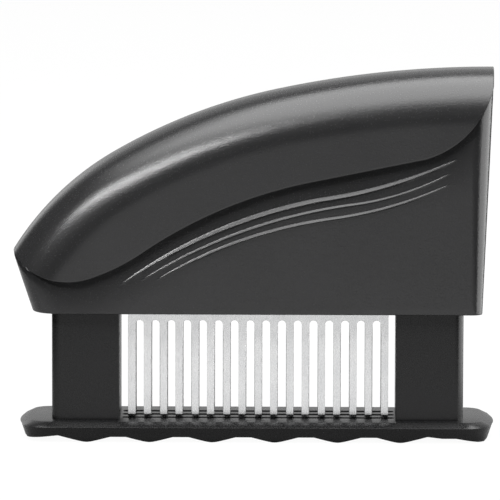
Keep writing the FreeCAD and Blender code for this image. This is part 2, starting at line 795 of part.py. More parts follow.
def clamp_nuts():
    """The two nuts, in the rear cheek of the carrier."""
    axis = Vector(1, 0, 0)
    half_width = dim.side_half_width - dim.side_wall - dim.carrier_gap
    nuts = []
    for number, offset in enumerate(BOLT_OFFSETS, start=1):
        name = f"clamp_nut_{number}"
        x = dim.base_centre + offset
        blank = prism(f"{name}_blank", dim.hexagon_radius, dim.nut_height,
                      x=x, y=half_width, z=dim.bolt_z, axis=axis, angle=90.0)
        hole = cylinder(f"{name}_hole", dim.bolt_radius, dim.nut_height,
                        x=x, y=half_width, z=dim.bolt_z, axis=axis, angle=90.0)
        nuts.append(join("Cut", name, blank, hole))
    return group("clamp_nuts", nuts)


def carrier_screws():
    """Two screws that hold the carrier up against the posts of the handle."""
    seat = dim.mouth_z + dim.carrier_recess * 2 + dim.screw_head_height
    return group("carrier_screws", [
        upright_screw(f"carrier_screw_{number}", x, y, seat, dim.carrier_screw_length)
        for number, (x, y) in enumerate(CARRIER_SCREWS, start=1)])


def column_screws():
    """One screw up the middle of each column, through the guard plate."""
    return group("column_screws", [
        upright_screw(f"column_screw_{side}", COLUMN_X[side], ZERO, COLUMN_SEAT, dim.column_screw_length)
        for side, _ in SIDES])


# ---------------------------------------------------------------------------------------------
# Guard: plate, columns and springs
# ---------------------------------------------------------------------------------------------

# Height at which the heads of the column screws bear in the guard plate, clear of what it stands on.
COLUMN_SEAT = dim.lobe_height + dim.screw_head_height + dim.screw_clearance


def guard_column(side, way):
    """A hollow post: sloping top that clears the roof, floor with a screw boss, stop lip."""
    body = new_body(f"column_{side}")
    half = dim.column_width / 2
    depth = dim.column_depth / 2
    post = new_sketch(body, f"post_{side}", "XY_Plane", dim.plateau_z)
    rectangle(post, -half, half, -depth, depth)
    pad(body, post, dim.column_inner_top - dim.plateau_z)

    def outer_corner(point):
        return near(abs(point.y), depth.value) and near(point.x, way * half.value)

    dress(body, "Fillet", edges_where(body.Shape, outer_corner), dim.column_corner,
          f"outer_corners_{side}")

    slope = new_sketch(body, f"slope_{side}", "XZ_Plane")
    outer = half * way
    shoulder = outer - dim.column_shoulder * way
    outline(slope, [(outer + CLEAR * way, dim.column_outer_top), (outer, dim.column_outer_top),
                    (shoulder, dim.column_inner_top), (shoulder, dim.column_inner_top + CLEAR),
                    (outer + CLEAR * way, dim.column_inner_top + CLEAR)])
    pocket(body, slope, THROUGH, symmetric=True)

    bore = new_sketch(body, f"bore_{side}", "XY_Plane", dim.column_floor)
    rectangle(bore, -half + dim.column_wall, half - dim.column_wall,
              -depth + dim.column_wall, depth - dim.column_wall)
    pocket(body, bore, dim.column_inner_top, reversed_way=True)

    tenon = new_sketch(body, f"tenon_{side}", "XY_Plane", dim.plateau_z - dim.column_tenon)
    inset = dim.column_tenon_inset
    rectangle(tenon, -half + inset, half - inset, -depth + inset, depth - inset)
    pad(body, tenon, dim.column_tenon)

    # The boss takes the screw, and the spring stands round it.
    boss = new_sketch(body, f"boss_{side}", "XY_Plane", dim.column_floor)
    circle(boss, ZERO, ZERO, dim.column_boss_radius)
    pad(body, boss, dim.column_boss_top - dim.column_floor)
    pilot = new_sketch(body, f"pilot_{side}", "XY_Plane", dim.plateau_z - dim.column_tenon)
    circle(pilot, ZERO, ZERO, dim.screw_pilot)
    pocket(body, pilot, dim.column_boss_top - dim.plateau_z, reversed_way=True)

    lip = new_sketch(body, f"lip_{side}", "XZ_Plane")
    inner = -outer
    outline(lip, [(inner, dim.column_inner_top - dim.lip_height),
                  (inner - dim.lip_reach * way, dim.column_inner_top - dim.lip_height),
                  (inner - dim.lip_reach * way, dim.column_inner_top - dim.lip_height / 2),
                  (inner, dim.column_inner_top), (inner + dim.column_wall * way, dim.column_inner_top),
                  (inner + dim.column_wall * way, dim.column_inner_top - dim.lip_height)])
    pad(body, lip, dim.lip_half_depth * 2, symmetric=True)
    bind_placement(body, COLUMN_X[side])
    return body


def plate_level(body, name, lift, inset):
    """One level of the plate: long straight sides, bowed ends and round corners."""
    sketch = new_sketch(body, name, "XY_Plane", lift)
    half_length = dim.plate_half_length - inset
    half_width = dim.plate_half_width - inset
    corner = dim.plate_corner
    shoulder = half_width - corner
    # The bow falls back by this much where the corner begins.
    fall = Size(shoulder.value ** 2 / (2 * dim.plate_end_bow.value),
                f"(({shoulder.text})^2 / (2 * {dim.plate_end_bow.text}))")
    end = half_length - fall
    side = end - corner
    centre = dim.base_centre
    outline(sketch, [
        (centre - side, -half_width), (centre + side, -half_width),
        (centre + end, -shoulder), (centre + end, shoulder),
        (centre + side, half_width), (centre - side, half_width),
        (centre - end, shoulder), (centre - end, -shoulder)],
        arcs={1: corner, 2: dim.plate_end_bow, 3: corner,
              5: corner, 6: dim.plate_end_bow, 7: corner})
    return sketch


def guard_plate():
    """The foot: leaning sides, bevelled rim, blade slots, column seats and lobed underside."""
    body = new_body("guard_plate")
    levels = [plate_level(body, "plate_foot", ZERO, dim.plate_undercut),
              plate_level(body, "plate_rim", dim.plate_rim_z, ZERO),
              plate_level(body, "plateau", dim.plateau_z, dim.plateau_inset)]
    doc.recompute()
    loft = body.newObject("PartDesign::AdditiveLoft", "plate_block")
    loft.Profile = levels[0]
    loft.Sections = levels[1:]
    loft.Ruled = True
    doc.recompute()

    # Underside: valleys between the lobes, a relief at the nose end and a half lobe at the tail.
    valley = new_sketch(body, "valley", "XZ_Plane")
    middle = dim.first_lobe_x + dim.lobe_pitch / 2
    reach = dim.lobe_pitch / 2 - dim.lobe_foot
    flank = reach - dim.valley_half_width
    outline(valley, [(middle - reach, ZERO), (middle - dim.valley_half_width, dim.lobe_height),
                     (middle + dim.valley_half_width, dim.lobe_height), (middle + reach, ZERO)])
    cut = pocket(body, valley, THROUGH, symmetric=True)
    repeat(body, cut, valley, "H_Axis", dim.lobe_pitch, dim.lobe_count - 1, "valleys")

    relief = new_sketch(body, "nose_relief", "XZ_Plane")
    past_end = dim.base_centre - dim.plate_half_length - CLEAR
    first_foot = dim.first_lobe_x - dim.lobe_foot
    outline(relief, [(past_end, ZERO), (past_end, dim.lobe_height),
                     (first_foot - flank, dim.lobe_height), (first_foot, ZERO)])
    pocket(body, relief, THROUGH, symmetric=True)
    tail = new_sketch(body, "tail_relief", "XZ_Plane")
    last_foot = dim.first_lobe_x + dim.lobe_pitch * (dim.lobe_count - 1) + dim.lobe_foot
    outline(tail, [(last_foot, ZERO), (last_foot + flank, dim.lobe_height),
                   (dim.tail_step_x, dim.lobe_height / 2), (dim.tail_foot_x, ZERO)])
    pocket(body, tail, THROUGH, symmetric=True)

    slots = new_sketch(body, "blade_slots", "XY_Plane")
    for row in ROWS.values():
        rectangle(slots, dim.base_centre - dim.slot_length / 2, dim.base_centre + dim.slot_length / 2,
                  row - dim.slot_width / 2, row + dim.slot_width / 2)
    pocket(body, slots, THROUGH, reversed_way=True)

    seats = new_sketch(body, "column_seats", "XY_Plane", dim.plateau_z)
    half = dim.column_width / 2 - dim.column_tenon_inset + dim.column_fit
    depth = dim.column_depth / 2 - dim.column_tenon_inset + dim.column_fit
    for side, _ in SIDES:
        rectangle(seats, COLUMN_X[side] - half, COLUMN_X[side] + half, -depth, depth)
    pocket(body, seats, dim.column_tenon + dim.column_fit)

    screws = new_sketch(body, "plate_screw_holes", "XY_Plane")
    for side, _ in SIDES:
        circle(screws, COLUMN_X[side], ZERO, dim.screw_radius + dim.screw_clearance)
    pocket(body, screws, THROUGH, reversed_way=True)
    heads = new_sketch(body, "plate_screw_heads", "XY_Plane")
    for side, _ in SIDES:
        circle(heads, COLUMN_X[side], ZERO, dim.screw_head_radius + dim.screw_clearance)
    pocket(body, heads, COLUMN_SEAT, reversed_way=True)
    return body


def return_spring(side):
    """An open-wound compression spring round the column's boss, up to the handle's post.

    The wire follows the helix in short straight steps, square in section.
    """
    half_wire = dim.spring_half_wire.value
    radius = dim.spring_mean_radius.value
    end_gap = dim.spring_half_wire + dim.column_fit
    bottom = dim.column_floor + end_gap
    length = (dim.spring_post_z - dim.column_floor - end_gap * 2).value
    turn_steps = int(dim.spring_steps.value)
    steps = int(dim.spring_turns.value) * turn_steps
    section = ((half_wire, half_wire), (-half_wire, half_wire), (-half_wire, -half_wire), (half_wire, -half_wire))

    rings = []
    for step in range(steps + 1):
        angle = 2 * math.pi * step / turn_steps
        rise = length * step / steps
        rings.append([Vector((radius + out) * math.cos(angle), (radius + out) * math.sin(angle), rise + up)
                      for out, up in section])

    def facet(*corners):
        return Part.Face(Part.makePolygon([*corners, corners[0]]))

    faces = [facet(*rings[0]), facet(*rings[-1])]
    for ring, after in zip(rings, rings[1:]):
        for corner in range(4):
            follow = (corner + 1) % 4
            a, b, c, d = ring[corner], ring[follow], after[follow], after[corner]
            # The sides that stand upright are flat; the top and bottom twist, so each is two facets.
            faces += [facet(a, b, c), facet(a, c, d)] if corner % 2 == 0 else [facet(a, b, c, d)]
    spring = doc.addObject("Part::Feature", f"return_spring_{side}")
    spring.Label = f"return_spring_{side}"
    spring.Shape = Part.makeSolid(Part.makeShell(faces))
    bind_placement(spring, COLUMN_X[side], ZERO, bottom)
    return spring


# ---------------------------------------------------------------------------------------------
# Assembly and export
# ---------------------------------------------------------------------------------------------

pieces = [handle_shell(), blade_carrier(), clamp_bolts(), clamp_nuts(), carrier_screws(),
          guard_plate(), column_screws()]
pieces += [blade_comb(row) for row in ROWS]
pieces += [comb_spacer(row, side) for row, side in (("front", -1), ("rear", 1))]
pieces += [guard_column(side, way) for side, way in SIDES]
pieces += [return_spring(side) for side, _ in SIDES]
doc.recompute()

for item in doc.Objects:
    if "Invalid" in item.State or "Error" in item.State:
        raise RuntimeError(f"{item.Label} failed: {item.State}")

for piece in pieces:
    if piece.Shape.isNull() or not piece.Shape.isValid():
        raise RuntimeError(f"{piece.Label} has no valid shape")
    piece.Shape.exportStep(f"parts/{piece.Label}.step")
    box = piece.Shape.BoundBox
    print(f"{piece.Label}: {len(piece.Shape.Solids)} solid(s), volume {piece.Shape.Volume:.0f} mm3, "
          f"x {box.XMin:.2f}..{box.XMax:.2f}, y {box.YMin:.2f}..{box.YMax:.2f}, "
          f"z {box.ZMin:.2f}..{box.ZMax:.2f}")
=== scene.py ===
"""Looks of the blade meat tenderizer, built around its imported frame.

The handle is one sculpted moulding, the combs are stamped steel with ground edges, and the
guard is a lobed, slotted plate on two hollow columns. Lengths are in millimetres inside the
classes and become metres when a mesh is made.
"""

import logging
import math
from dataclasses import dataclass, field
from enum import Enum
from functools import cached_property

import bmesh
import bpy
import numpy as np
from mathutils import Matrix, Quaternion, Vector


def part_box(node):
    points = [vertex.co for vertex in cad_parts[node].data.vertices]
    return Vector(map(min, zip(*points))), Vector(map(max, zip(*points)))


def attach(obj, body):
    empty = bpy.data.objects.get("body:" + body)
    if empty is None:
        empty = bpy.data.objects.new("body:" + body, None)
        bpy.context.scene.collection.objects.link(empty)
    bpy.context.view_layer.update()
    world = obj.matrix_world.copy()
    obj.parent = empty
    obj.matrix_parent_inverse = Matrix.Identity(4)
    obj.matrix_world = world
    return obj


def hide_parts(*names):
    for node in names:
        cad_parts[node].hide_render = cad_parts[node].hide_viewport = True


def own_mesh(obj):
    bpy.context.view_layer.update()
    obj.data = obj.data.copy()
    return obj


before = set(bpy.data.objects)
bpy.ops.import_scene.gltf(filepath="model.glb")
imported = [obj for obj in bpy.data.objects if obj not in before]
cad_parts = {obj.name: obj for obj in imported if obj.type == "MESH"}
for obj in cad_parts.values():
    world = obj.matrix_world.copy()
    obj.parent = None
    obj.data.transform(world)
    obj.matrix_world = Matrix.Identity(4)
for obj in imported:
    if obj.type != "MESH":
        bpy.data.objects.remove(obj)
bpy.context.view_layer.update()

LOG = logging.getLogger("tenderizer")
MM = 0.001
QUARTER = math.pi / 2
TINY = 1e-6
ROWS = ("front", "middle", "rear")
SIDES = ("left", "right")
STOPS = (0.3, 0.7)
Pair = tuple[float, float]
Triple = tuple[float, float, float]
Array = np.ndarray
Piece = bpy.types.Object
Socket = bpy.types.NodeSocket


# ---- Places read from the frame ----


@dataclass(frozen=True)
class Extent:
    """The box of a CAD node, in millimetres."""

    low: Triple
    high: Triple

    @classmethod
    def of(cls, node: str) -> "Extent":
        """Reads the box of a CAD node."""
        low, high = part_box(node)
        return cls(tuple(low / MM), tuple(high / MM))

    @property
    def centre(self) -> Triple:
        """The middle of the box."""
        return tuple((a + b) / 2 for a, b in zip(self.low, self.high))

    @property
    def size(self) -> Triple:
        """The three side lengths of the box."""
        return tuple(b - a for a, b in zip(self.low, self.high))


# ---- Drawn lines ----


@dataclass(frozen=True)
class Stretch:
    """One stretch of a drawn line: where it ends and the radius at which it turns.

    A positive radius turns clockwise, a negative one anticlockwise, and 0 is straight.
    """

    end: Pair
    radius: float = 0.0

    def points(self, start: Pair, step: float) -> Array:
        """Divides the stretch.

        Args:
            start: where the stretch begins.
            step: longest distance between points.

        Returns:
            The points after the start, the end included.
        """
        a = np.array(start, float)
        b = np.array(self.end, float)
        chord = b - a
        length = float(np.hypot(*chord))
        if self.radius == 0.0:
            share = np.linspace(0, 1, max(2, math.ceil(length / step) + 1))[1:, None]
            return a + chord * share
        reach = abs(self.radius)
        way = math.copysign(1.0, self.radius)
        right = np.array([chord[1], -chord[0]]) / length
        centre = (a + b) / 2 + right * way * math.sqrt(max(reach ** 2 - length ** 2 / 4, 0.0))
        turn = 2 * math.asin(min(1.0, length / 2 / reach))
        first = math.atan2(*(a - centre)[::-1])
        count = max(3, math.ceil(turn * reach / step) + 1)
        angles = first - way * turn * np.linspace(0, 1, count)[1:]
        return centre + reach * np.stack([np.cos(angles), np.sin(angles)], axis=1)


@dataclass(frozen=True)
class DrawnLine:
    """A line of tangent arcs and straights in the plane of the handle's side."""

    start: Pair
    stretches: tuple[Stretch, ...]
    step: float = 0.6
    block: int = 4096

    @cached_property
    def points(self) -> Array:
        """All points of the line.

        Returns:
            Its (x, z) rows, in order.
        """
        parts = [np.array([self.start], float)]
        here = self.start
        for stretch in self.stretches:
            parts.append(stretch.points(here, self.step))
            here = stretch.end
        return np.vstack(parts)

    @cached_property
    def lengths(self) -> Array:
        """Distance along the line at each of its points."""
        return np.concatenate([[0.0], np.cumsum(np.hypot(*np.diff(self.points, axis=0).T))])

    def at(self, shares: Array) -> Array:
        """Places at shares of the line's length."""
        where = np.asarray(shares) * self.lengths[-1]
        return np.stack([np.interp(where, self.lengths, self.points[:, k]) for k in (0, 1)],
                        axis=-1)

    def nearest(self, places: Array) -> tuple[Array, Array]:
        """Measures places against the line.

        Args:
            places: an array of (x, z) rows.

        Returns:
            The distance of each, positive below a line that runs to the right, and the share of
            the line's length at the nearest point.
        """
        a = self.points[:-1]
        d = np.diff(self.points, axis=0)
        square = (d ** 2).sum(axis=1)
        gaps = np.empty(len(places))
        shares = np.empty(len(places))
        for first in range(0, len(places), self.block):
            here = slice(first, first + self.block)
            part = places[here]
            rel = part[:, None, :] - a[None]
            t = np.clip((rel * d).sum(axis=2) / square, 0, 1)
            away = rel - t[..., None] * d
            dist = np.hypot(away[..., 0], away[..., 1])
            pick = dist.argmin(axis=1)
            row = np.arange(len(part))
            side = np.sign(away[row, pick, 0] * d[pick, 1] - away[row, pick, 1] * d[pick, 0])
            gaps[here] = dist[row, pick] * side
            along = self.lengths[pick] + t[row, pick] * np.sqrt(square[pick])
            shares[here] = along / self.lengths[-1]
        return gaps, shares


def fall(depth: Array, radius: float) -> Array:
    """How far an edge's rounding has fallen back, at a depth in from the edge."""
    inside = radius - np.clip(depth, 0, radius)
    return radius - np.sqrt(np.maximum(radius ** 2 - inside ** 2, 0))


def bunched(reach: float, count: int) -> Array:
    """Places from 0 to a reach, close together at 0."""
    return reach * (1 - np.cos(np.linspace(0, QUARTER, count)))


def smooth_min(a: Array, b: Array, blend: float) -> Array:
    """The lower of two heights, with the corner between them blended over a half width."""
    share = np.clip(0.5 + 0.5 * (b - a) / blend, 0, 1)
    return b * (1 - share) + a * share - blend * share * (1 - share)


# ---- Mesh making ----


@dataclass
class MeshDraft:
    """Collects vertices and faces in millimetres and turns them into an object."""

    verts: list[Triple] = field(default_factory=list)
    faces: list[tuple[int, ...]] = field(default_factory=list)

    def grid(self, points: Array, wrap: bool = False) -> None:
        """Adds a grid of quads.

        Args:
            points: rows by columns by 3.
            wrap: joins the last column to the first.
        """
        rows, columns = points.shape[:2]
        base = len(self.verts)
        self.verts.extend(map(tuple, points.reshape(-1, 3)))
        last = columns if wrap else columns - 1
        for r in range(rows - 1):
            for c in range(last):
                d = (c + 1) % columns
                self.faces.append((base + r * columns + c, base + r * columns + d,
                                   base + (r + 1) * columns + d, base + (r + 1) * columns + c))

    def polygon(self, points: Array) -> None:
        """Adds one flat face through points."""
        self.faces.append(tuple(range(len(self.verts), len(self.verts) + len(points))))
        self.verts.extend(map(tuple, points))

    def make(self, name: str, merge: float = 0.002, sharp: float = 38.0) -> Piece:
        """Makes the object.

        Args:
            name: name of the object.
            merge: vertices closer than this become one.
            sharp: edges over this many degrees are shaded sharp.

        Returns:
            The object, linked to the scene.
        """
        mesh = bpy.data.meshes.new(name)
        mesh.from_pydata([tuple(c * MM for c in v) for v in self.verts], [], self.faces)
        work = bmesh.new()
        work.from_mesh(mesh)
        bmesh.ops.remove_doubles(work, verts=work.verts, dist=merge * MM)
        bmesh.ops.dissolve_degenerate(work, edges=work.edges, dist=merge * MM)
        bmesh.ops.recalc_face_normals(work, faces=work.faces)
        work.to_mesh(mesh)
        work.free()
        return finish_object(name, mesh, sharp)


def tube(name: str, rings: Array | list[Array], merge: float = 0.002,
         sharp: float = 38.0) -> Piece:
    """Makes a closed body through rings of points, with a flat face at each end.

    Args:
        name: name of the object.
        rings: rings of (x, y, z) rows, with as many points in each.
        merge: vertices closer than this become one.
        sharp: edges over this many degrees are shaded sharp.

    Returns:
        The object.
    """
    draft = MeshDraft()
    draft.grid(np.stack(rings), wrap=True)
    draft.polygon(rings[0][::-1])
    draft.polygon(rings[-1])
    return draft.make(name, merge, sharp)


def shade(mesh: bpy.types.Mesh, name: str, sharp: float) -> None:
    """Names a mesh and shades it smooth but for its sharp edges.

    Args:
        mesh: the mesh.
        name: its name.
        sharp: edges over this many degrees are shaded sharp.
    """
    mesh.name = name
    mesh.shade_smooth()
    mesh.set_sharp_from_angle(angle=math.radians(sharp))


def finish_object(name: str, mesh: bpy.types.Mesh, sharp: float) -> Piece:
    """Shades a mesh and links an object for it.

    Args:
        name: name of the object.
        mesh: its mesh.
        sharp: edges over this many degrees are shaded sharp.

    Returns:
        The object.
    """
    shade(mesh, name, sharp)
    piece = bpy.data.objects.new(name, mesh)
    bpy.context.scene.collection.objects.link(piece)
    return piece


def lifted(outline: Array, z: float | Array) -> Array:
    """An outline's (x, y) rows at one height, or at a height for each."""
    return np.column_stack([outline, np.broadcast_to(z, len(outline))])


def rounded_rectangle(half_x: float, half_y: float, corners: tuple[float, float], centre: Pair,
                      steps: int = 8) -> Array:
    """A closed outline, anticlockwise from its right front corner.

    Args:
        half_x: half its length.
        half_y: half its width.
        corners: radius of the two right corners, then of the two left ones.
        centre: its middle.
        steps: divisions of each corner.

    Returns:
        The outline's points as (x, y) rows.
    """
    points = []
    places = ((1, -1, -90, corners[0]), (1, 1, 0, corners[0]),
              (-1, 1, 90, corners[1]), (-1, -1, 180, corners[1]))
    for sx, sy, first, radius in places:
        x, y = centre[0] + sx * (half_x - radius), centre[1] + sy * (half_y - radius)
        for k in range(steps + 1):
            angle = math.radians(first + 90 * k / steps)
            points.append((x + radius * math.cos(angle), y + radius * math.sin(angle)))
    return np.array(points)


# ---- Finishes ----


@dataclass
class NodeSheet:
    """A material's node tree with short calls for what the finishes need."""

    name: str

    def __post_init__(self) -> None:
        """Starts the material with its shader and object coordinates."""
        self.material = bpy.data.materials.new(self.name)
        self.material.use_nodes = True
        self.tree = self.material.node_tree
        self.shader = self.tree.nodes["Principled BSDF"]
        self.place = self.tree.nodes.new("ShaderNodeTexCoord").outputs["Object"]

    def feed(self, target: Socket, value: object) -> None:
        """Links a socket to an input, or sets the input to a value.

        Args:
            target: the input.
            value: a socket or a plain value.
        """
        if isinstance(value, Socket):
            self.tree.links.new(value, target)
        else:
            target.default_value = value

    def node(self, kind: str, inputs: dict[str | int, object] | None = None,
             **settings: object) -> bpy.types.Node:
        """Adds a node.

        Args:
            kind: its Blender type.
            inputs: values or sockets for its inputs.
            settings: its own properties.

        Returns:
            The node.
        """
        made = self.tree.nodes.new(kind)
        for key, value in settings.items():
            setattr(made, key, value)
        for key, value in (inputs or {}).items():
            self.feed(made.inputs[key], value)
        return made

    def maths(self, operation: str, first: object, second: object) -> Socket:
        """The result of a sum with two values or sockets."""
        made = self.node("ShaderNodeMath", {0: first, 1: second}, operation=operation)
        return made.outputs[0]

    def stretched(self, scale: Triple) -> Socket:
        """Object coordinates scaled along each axis."""
        made = self.node("ShaderNodeMapping", {"Vector": self.place, "Scale": scale})
        return made.outputs["Vector"]

    def noise(self, scale: float, detail: float = 3.0, vector: Socket | None = None,
              roughness: float = 0.5) -> Socket:
        """Fractal noise over the object."""
        return self.node("ShaderNodeTexNoise", {
            "Vector": vector or self.place, "Scale": scale, "Detail": detail,
            "Roughness": roughness}).outputs["Fac"]

    def spread(self, value: Socket, low: float, high: float, between: Pair = STOPS) -> Socket:
        """Maps a value's part between two stops to a range."""
        return self.node("ShaderNodeMapRange", {
            "Value": value, "From Min": between[0], "From Max": between[1],
            "To Min": low, "To Max": high}).outputs["Result"]

    def tint(self, share: Socket, low: Triple, high: Triple) -> Socket:
        """Colour that runs between two tints with a noise.

        Args:
            share: the noise.
            low: colour at its low stop.
            high: colour at its high stop.

        Returns:
            The colour.
        """
        ramp = self.node("ShaderNodeValToRGB", {"Fac": share})
        for element, stop, colour in zip(ramp.color_ramp.elements, STOPS, (low, high)):
            element.position = stop
            element.color = (*colour, 1.0)
        return ramp.outputs["Color"]

    def bump(self, height: Socket, distance: float, strength: float,
             under: Socket | None = None) -> Socket:
        """Surface relief from a height, on top of another relief if there is one."""
        inputs = {"Height": height, "Distance": distance, "Strength": strength}
        below = {"Normal": under} if under else {}
        return self.node("ShaderNodeBump", inputs | below).outputs["Normal"]

    def dress(self, **sockets: object) -> bpy.types.Material:
        """Sets or links the shader's inputs, with underscores for spaces.

        Args:
            sockets: values or sockets by input name.

        Returns:
            The finished material.
        """
        for key, value in sockets.items():
            self.feed(self.shader.inputs[key.replace("_", " ")], value)
        return self.material


@dataclass(frozen=True)
class MouldedPlastic:
    """Satin plastic with a spark-eroded grain."""

    name: str
    dark: Triple = (0.0168, 0.0168, 0.0172)
    light: Triple = (0.02, 0.02, 0.0205)
    clouds: float = 45.0
    grain: float = 1900.0
    grain_depth: float = 0.00006
    relief: float = 0.8
    ripple: float = 190.0
    ripple_depth: float = 0.0004
    ripple_relief: float = 0.06
    sheen: float = 0.22
    sheen_range: Pair = (-0.05, 0.07)
    gloss: float = 0.5

    def material(self) -> bpy.types.Material:
        """Builds the finish.

        Returns:
            Its Blender material.
        """
        sheet = NodeSheet(self.name)
        clouds = sheet.noise(self.clouds, 4.0)
        grain = sheet.noise(self.grain, 2.0, roughness=0.65)
        ripple = sheet.noise(self.ripple, 2.0)
        waves = sheet.bump(ripple, self.ripple_depth, self.ripple_relief)
        low, high = (self.sheen + step for step in self.sheen_range)
        return sheet.dress(
            Base_Color=sheet.tint(clouds, self.dark, self.light),
            Roughness=sheet.spread(grain, low, high),
            Normal=sheet.bump(grain, self.grain_depth, self.relief, under=waves),
            Specular_IOR_Level=self.gloss,
        )


@dataclass(frozen=True)
class RolledSteel:
    """Stainless strip with the fine lines of rolling or drawing along one axis."""

    name: str
    tone: float = 0.74
    darkest: Triple = (0.93, 0.935, 0.945)
    lightest: Triple = (1.04, 1.042, 1.045)
    clouds: float = 120.0
    lines: Triple = (9000.0, 9000.0, 350.0)
    line_depth: float = 0.00002
    relief: float = 0.12
    sheen: float = 0.3
    sheen_range: Pair = (-0.06, 0.08)
    mirror: float = 1.0

    def material(self) -> bpy.types.Material:
        """Builds the finish.

        Returns:
            Its Blender material.
        """
        sheet = NodeSheet(self.name)
        lines = sheet.noise(1.0, 3.0, sheet.stretched(self.lines), 0.6)
        clouds = sheet.noise(self.clouds, 3.0)
        dark, light = (tuple(self.tone * part for part in tint)
                       for tint in (self.darkest, self.lightest))
        low, high = (self.sheen + step for step in self.sheen_range)
        return sheet.dress(
            Base_Color=sheet.tint(clouds, dark, light),
            Metallic=self.mirror,
            Roughness=sheet.spread(lines, low, high),
            Normal=sheet.bump(lines, self.line_depth, self.relief),
        )


class Finish(Enum):
    """The finishes of the tool, by part."""

    HANDLE = MouldedPlastic("handle_black_grain")
    GUARD = MouldedPlastic("guard_black_grain", dark=(0.008, 0.008, 0.0083),
                           light=(0.01, 0.01, 0.0103), grain=2600.0, relief=0.035,
                           sheen=0.27, gloss=0.34)
    CARRIER = MouldedPlastic("carrier_black", relief=0.15, sheen=0.48)
    BLADE = RolledSteel("blade_strip_steel", tone=0.86, sheen=0.24, mirror=0.85)
    FASTENER = RolledSteel("plated_fastener_steel", tone=0.6, lines=(2500.0, 2500.0, 2500.0),
                           sheen=0.34)
    SPRING = RolledSteel("drawn_spring_wire", tone=0.56, lines=(6000.0, 6000.0, 1200.0))

    @cached_property
    def made(self) -> bpy.types.Material:
        """The Blender material, built once."""
        return self.value.material()

    def apply(self, piece: Piece) -> None:
        """Gives a piece this finish in place of any other."""
        piece.data.materials.clear()
        piece.data.materials.append(self.made)


# ---- Handle ----


@dataclass(frozen=True)
class Swoosh:
    """A raised crescent on the handle's side, pointed at both ends."""

    line: DrawnLine
    half_width: float
    height: float
    crest: float = 0.42
    drop: float = 0.4
    taper: float = 0.55
    rise_power: float = 1.1

    def relief(self, places: Array) -> Array:
        """Height of the crescent over the side.

        Args:
            places: an array of (x, z) rows.

        Returns:
            The height at each place.
        """
        gap, share = self.line.nearest(places)
        inside = (share > 0) & (share < 1)
        swell = np.power(np.clip(4 * share * (1 - share), 0, 1), self.taper) * inside
        width = self.half_width * swell
        crest = width * self.crest
        rise = np.clip((gap + width) / np.maximum(crest + width, TINY), 0, 1)
        drop = np.clip((crest + self.drop - gap) / self.drop, 0, 1)
        profile = np.where(gap < crest, rise ** self.rise_power, np.sin(drop * QUARTER))
        return self.height * swell * profile


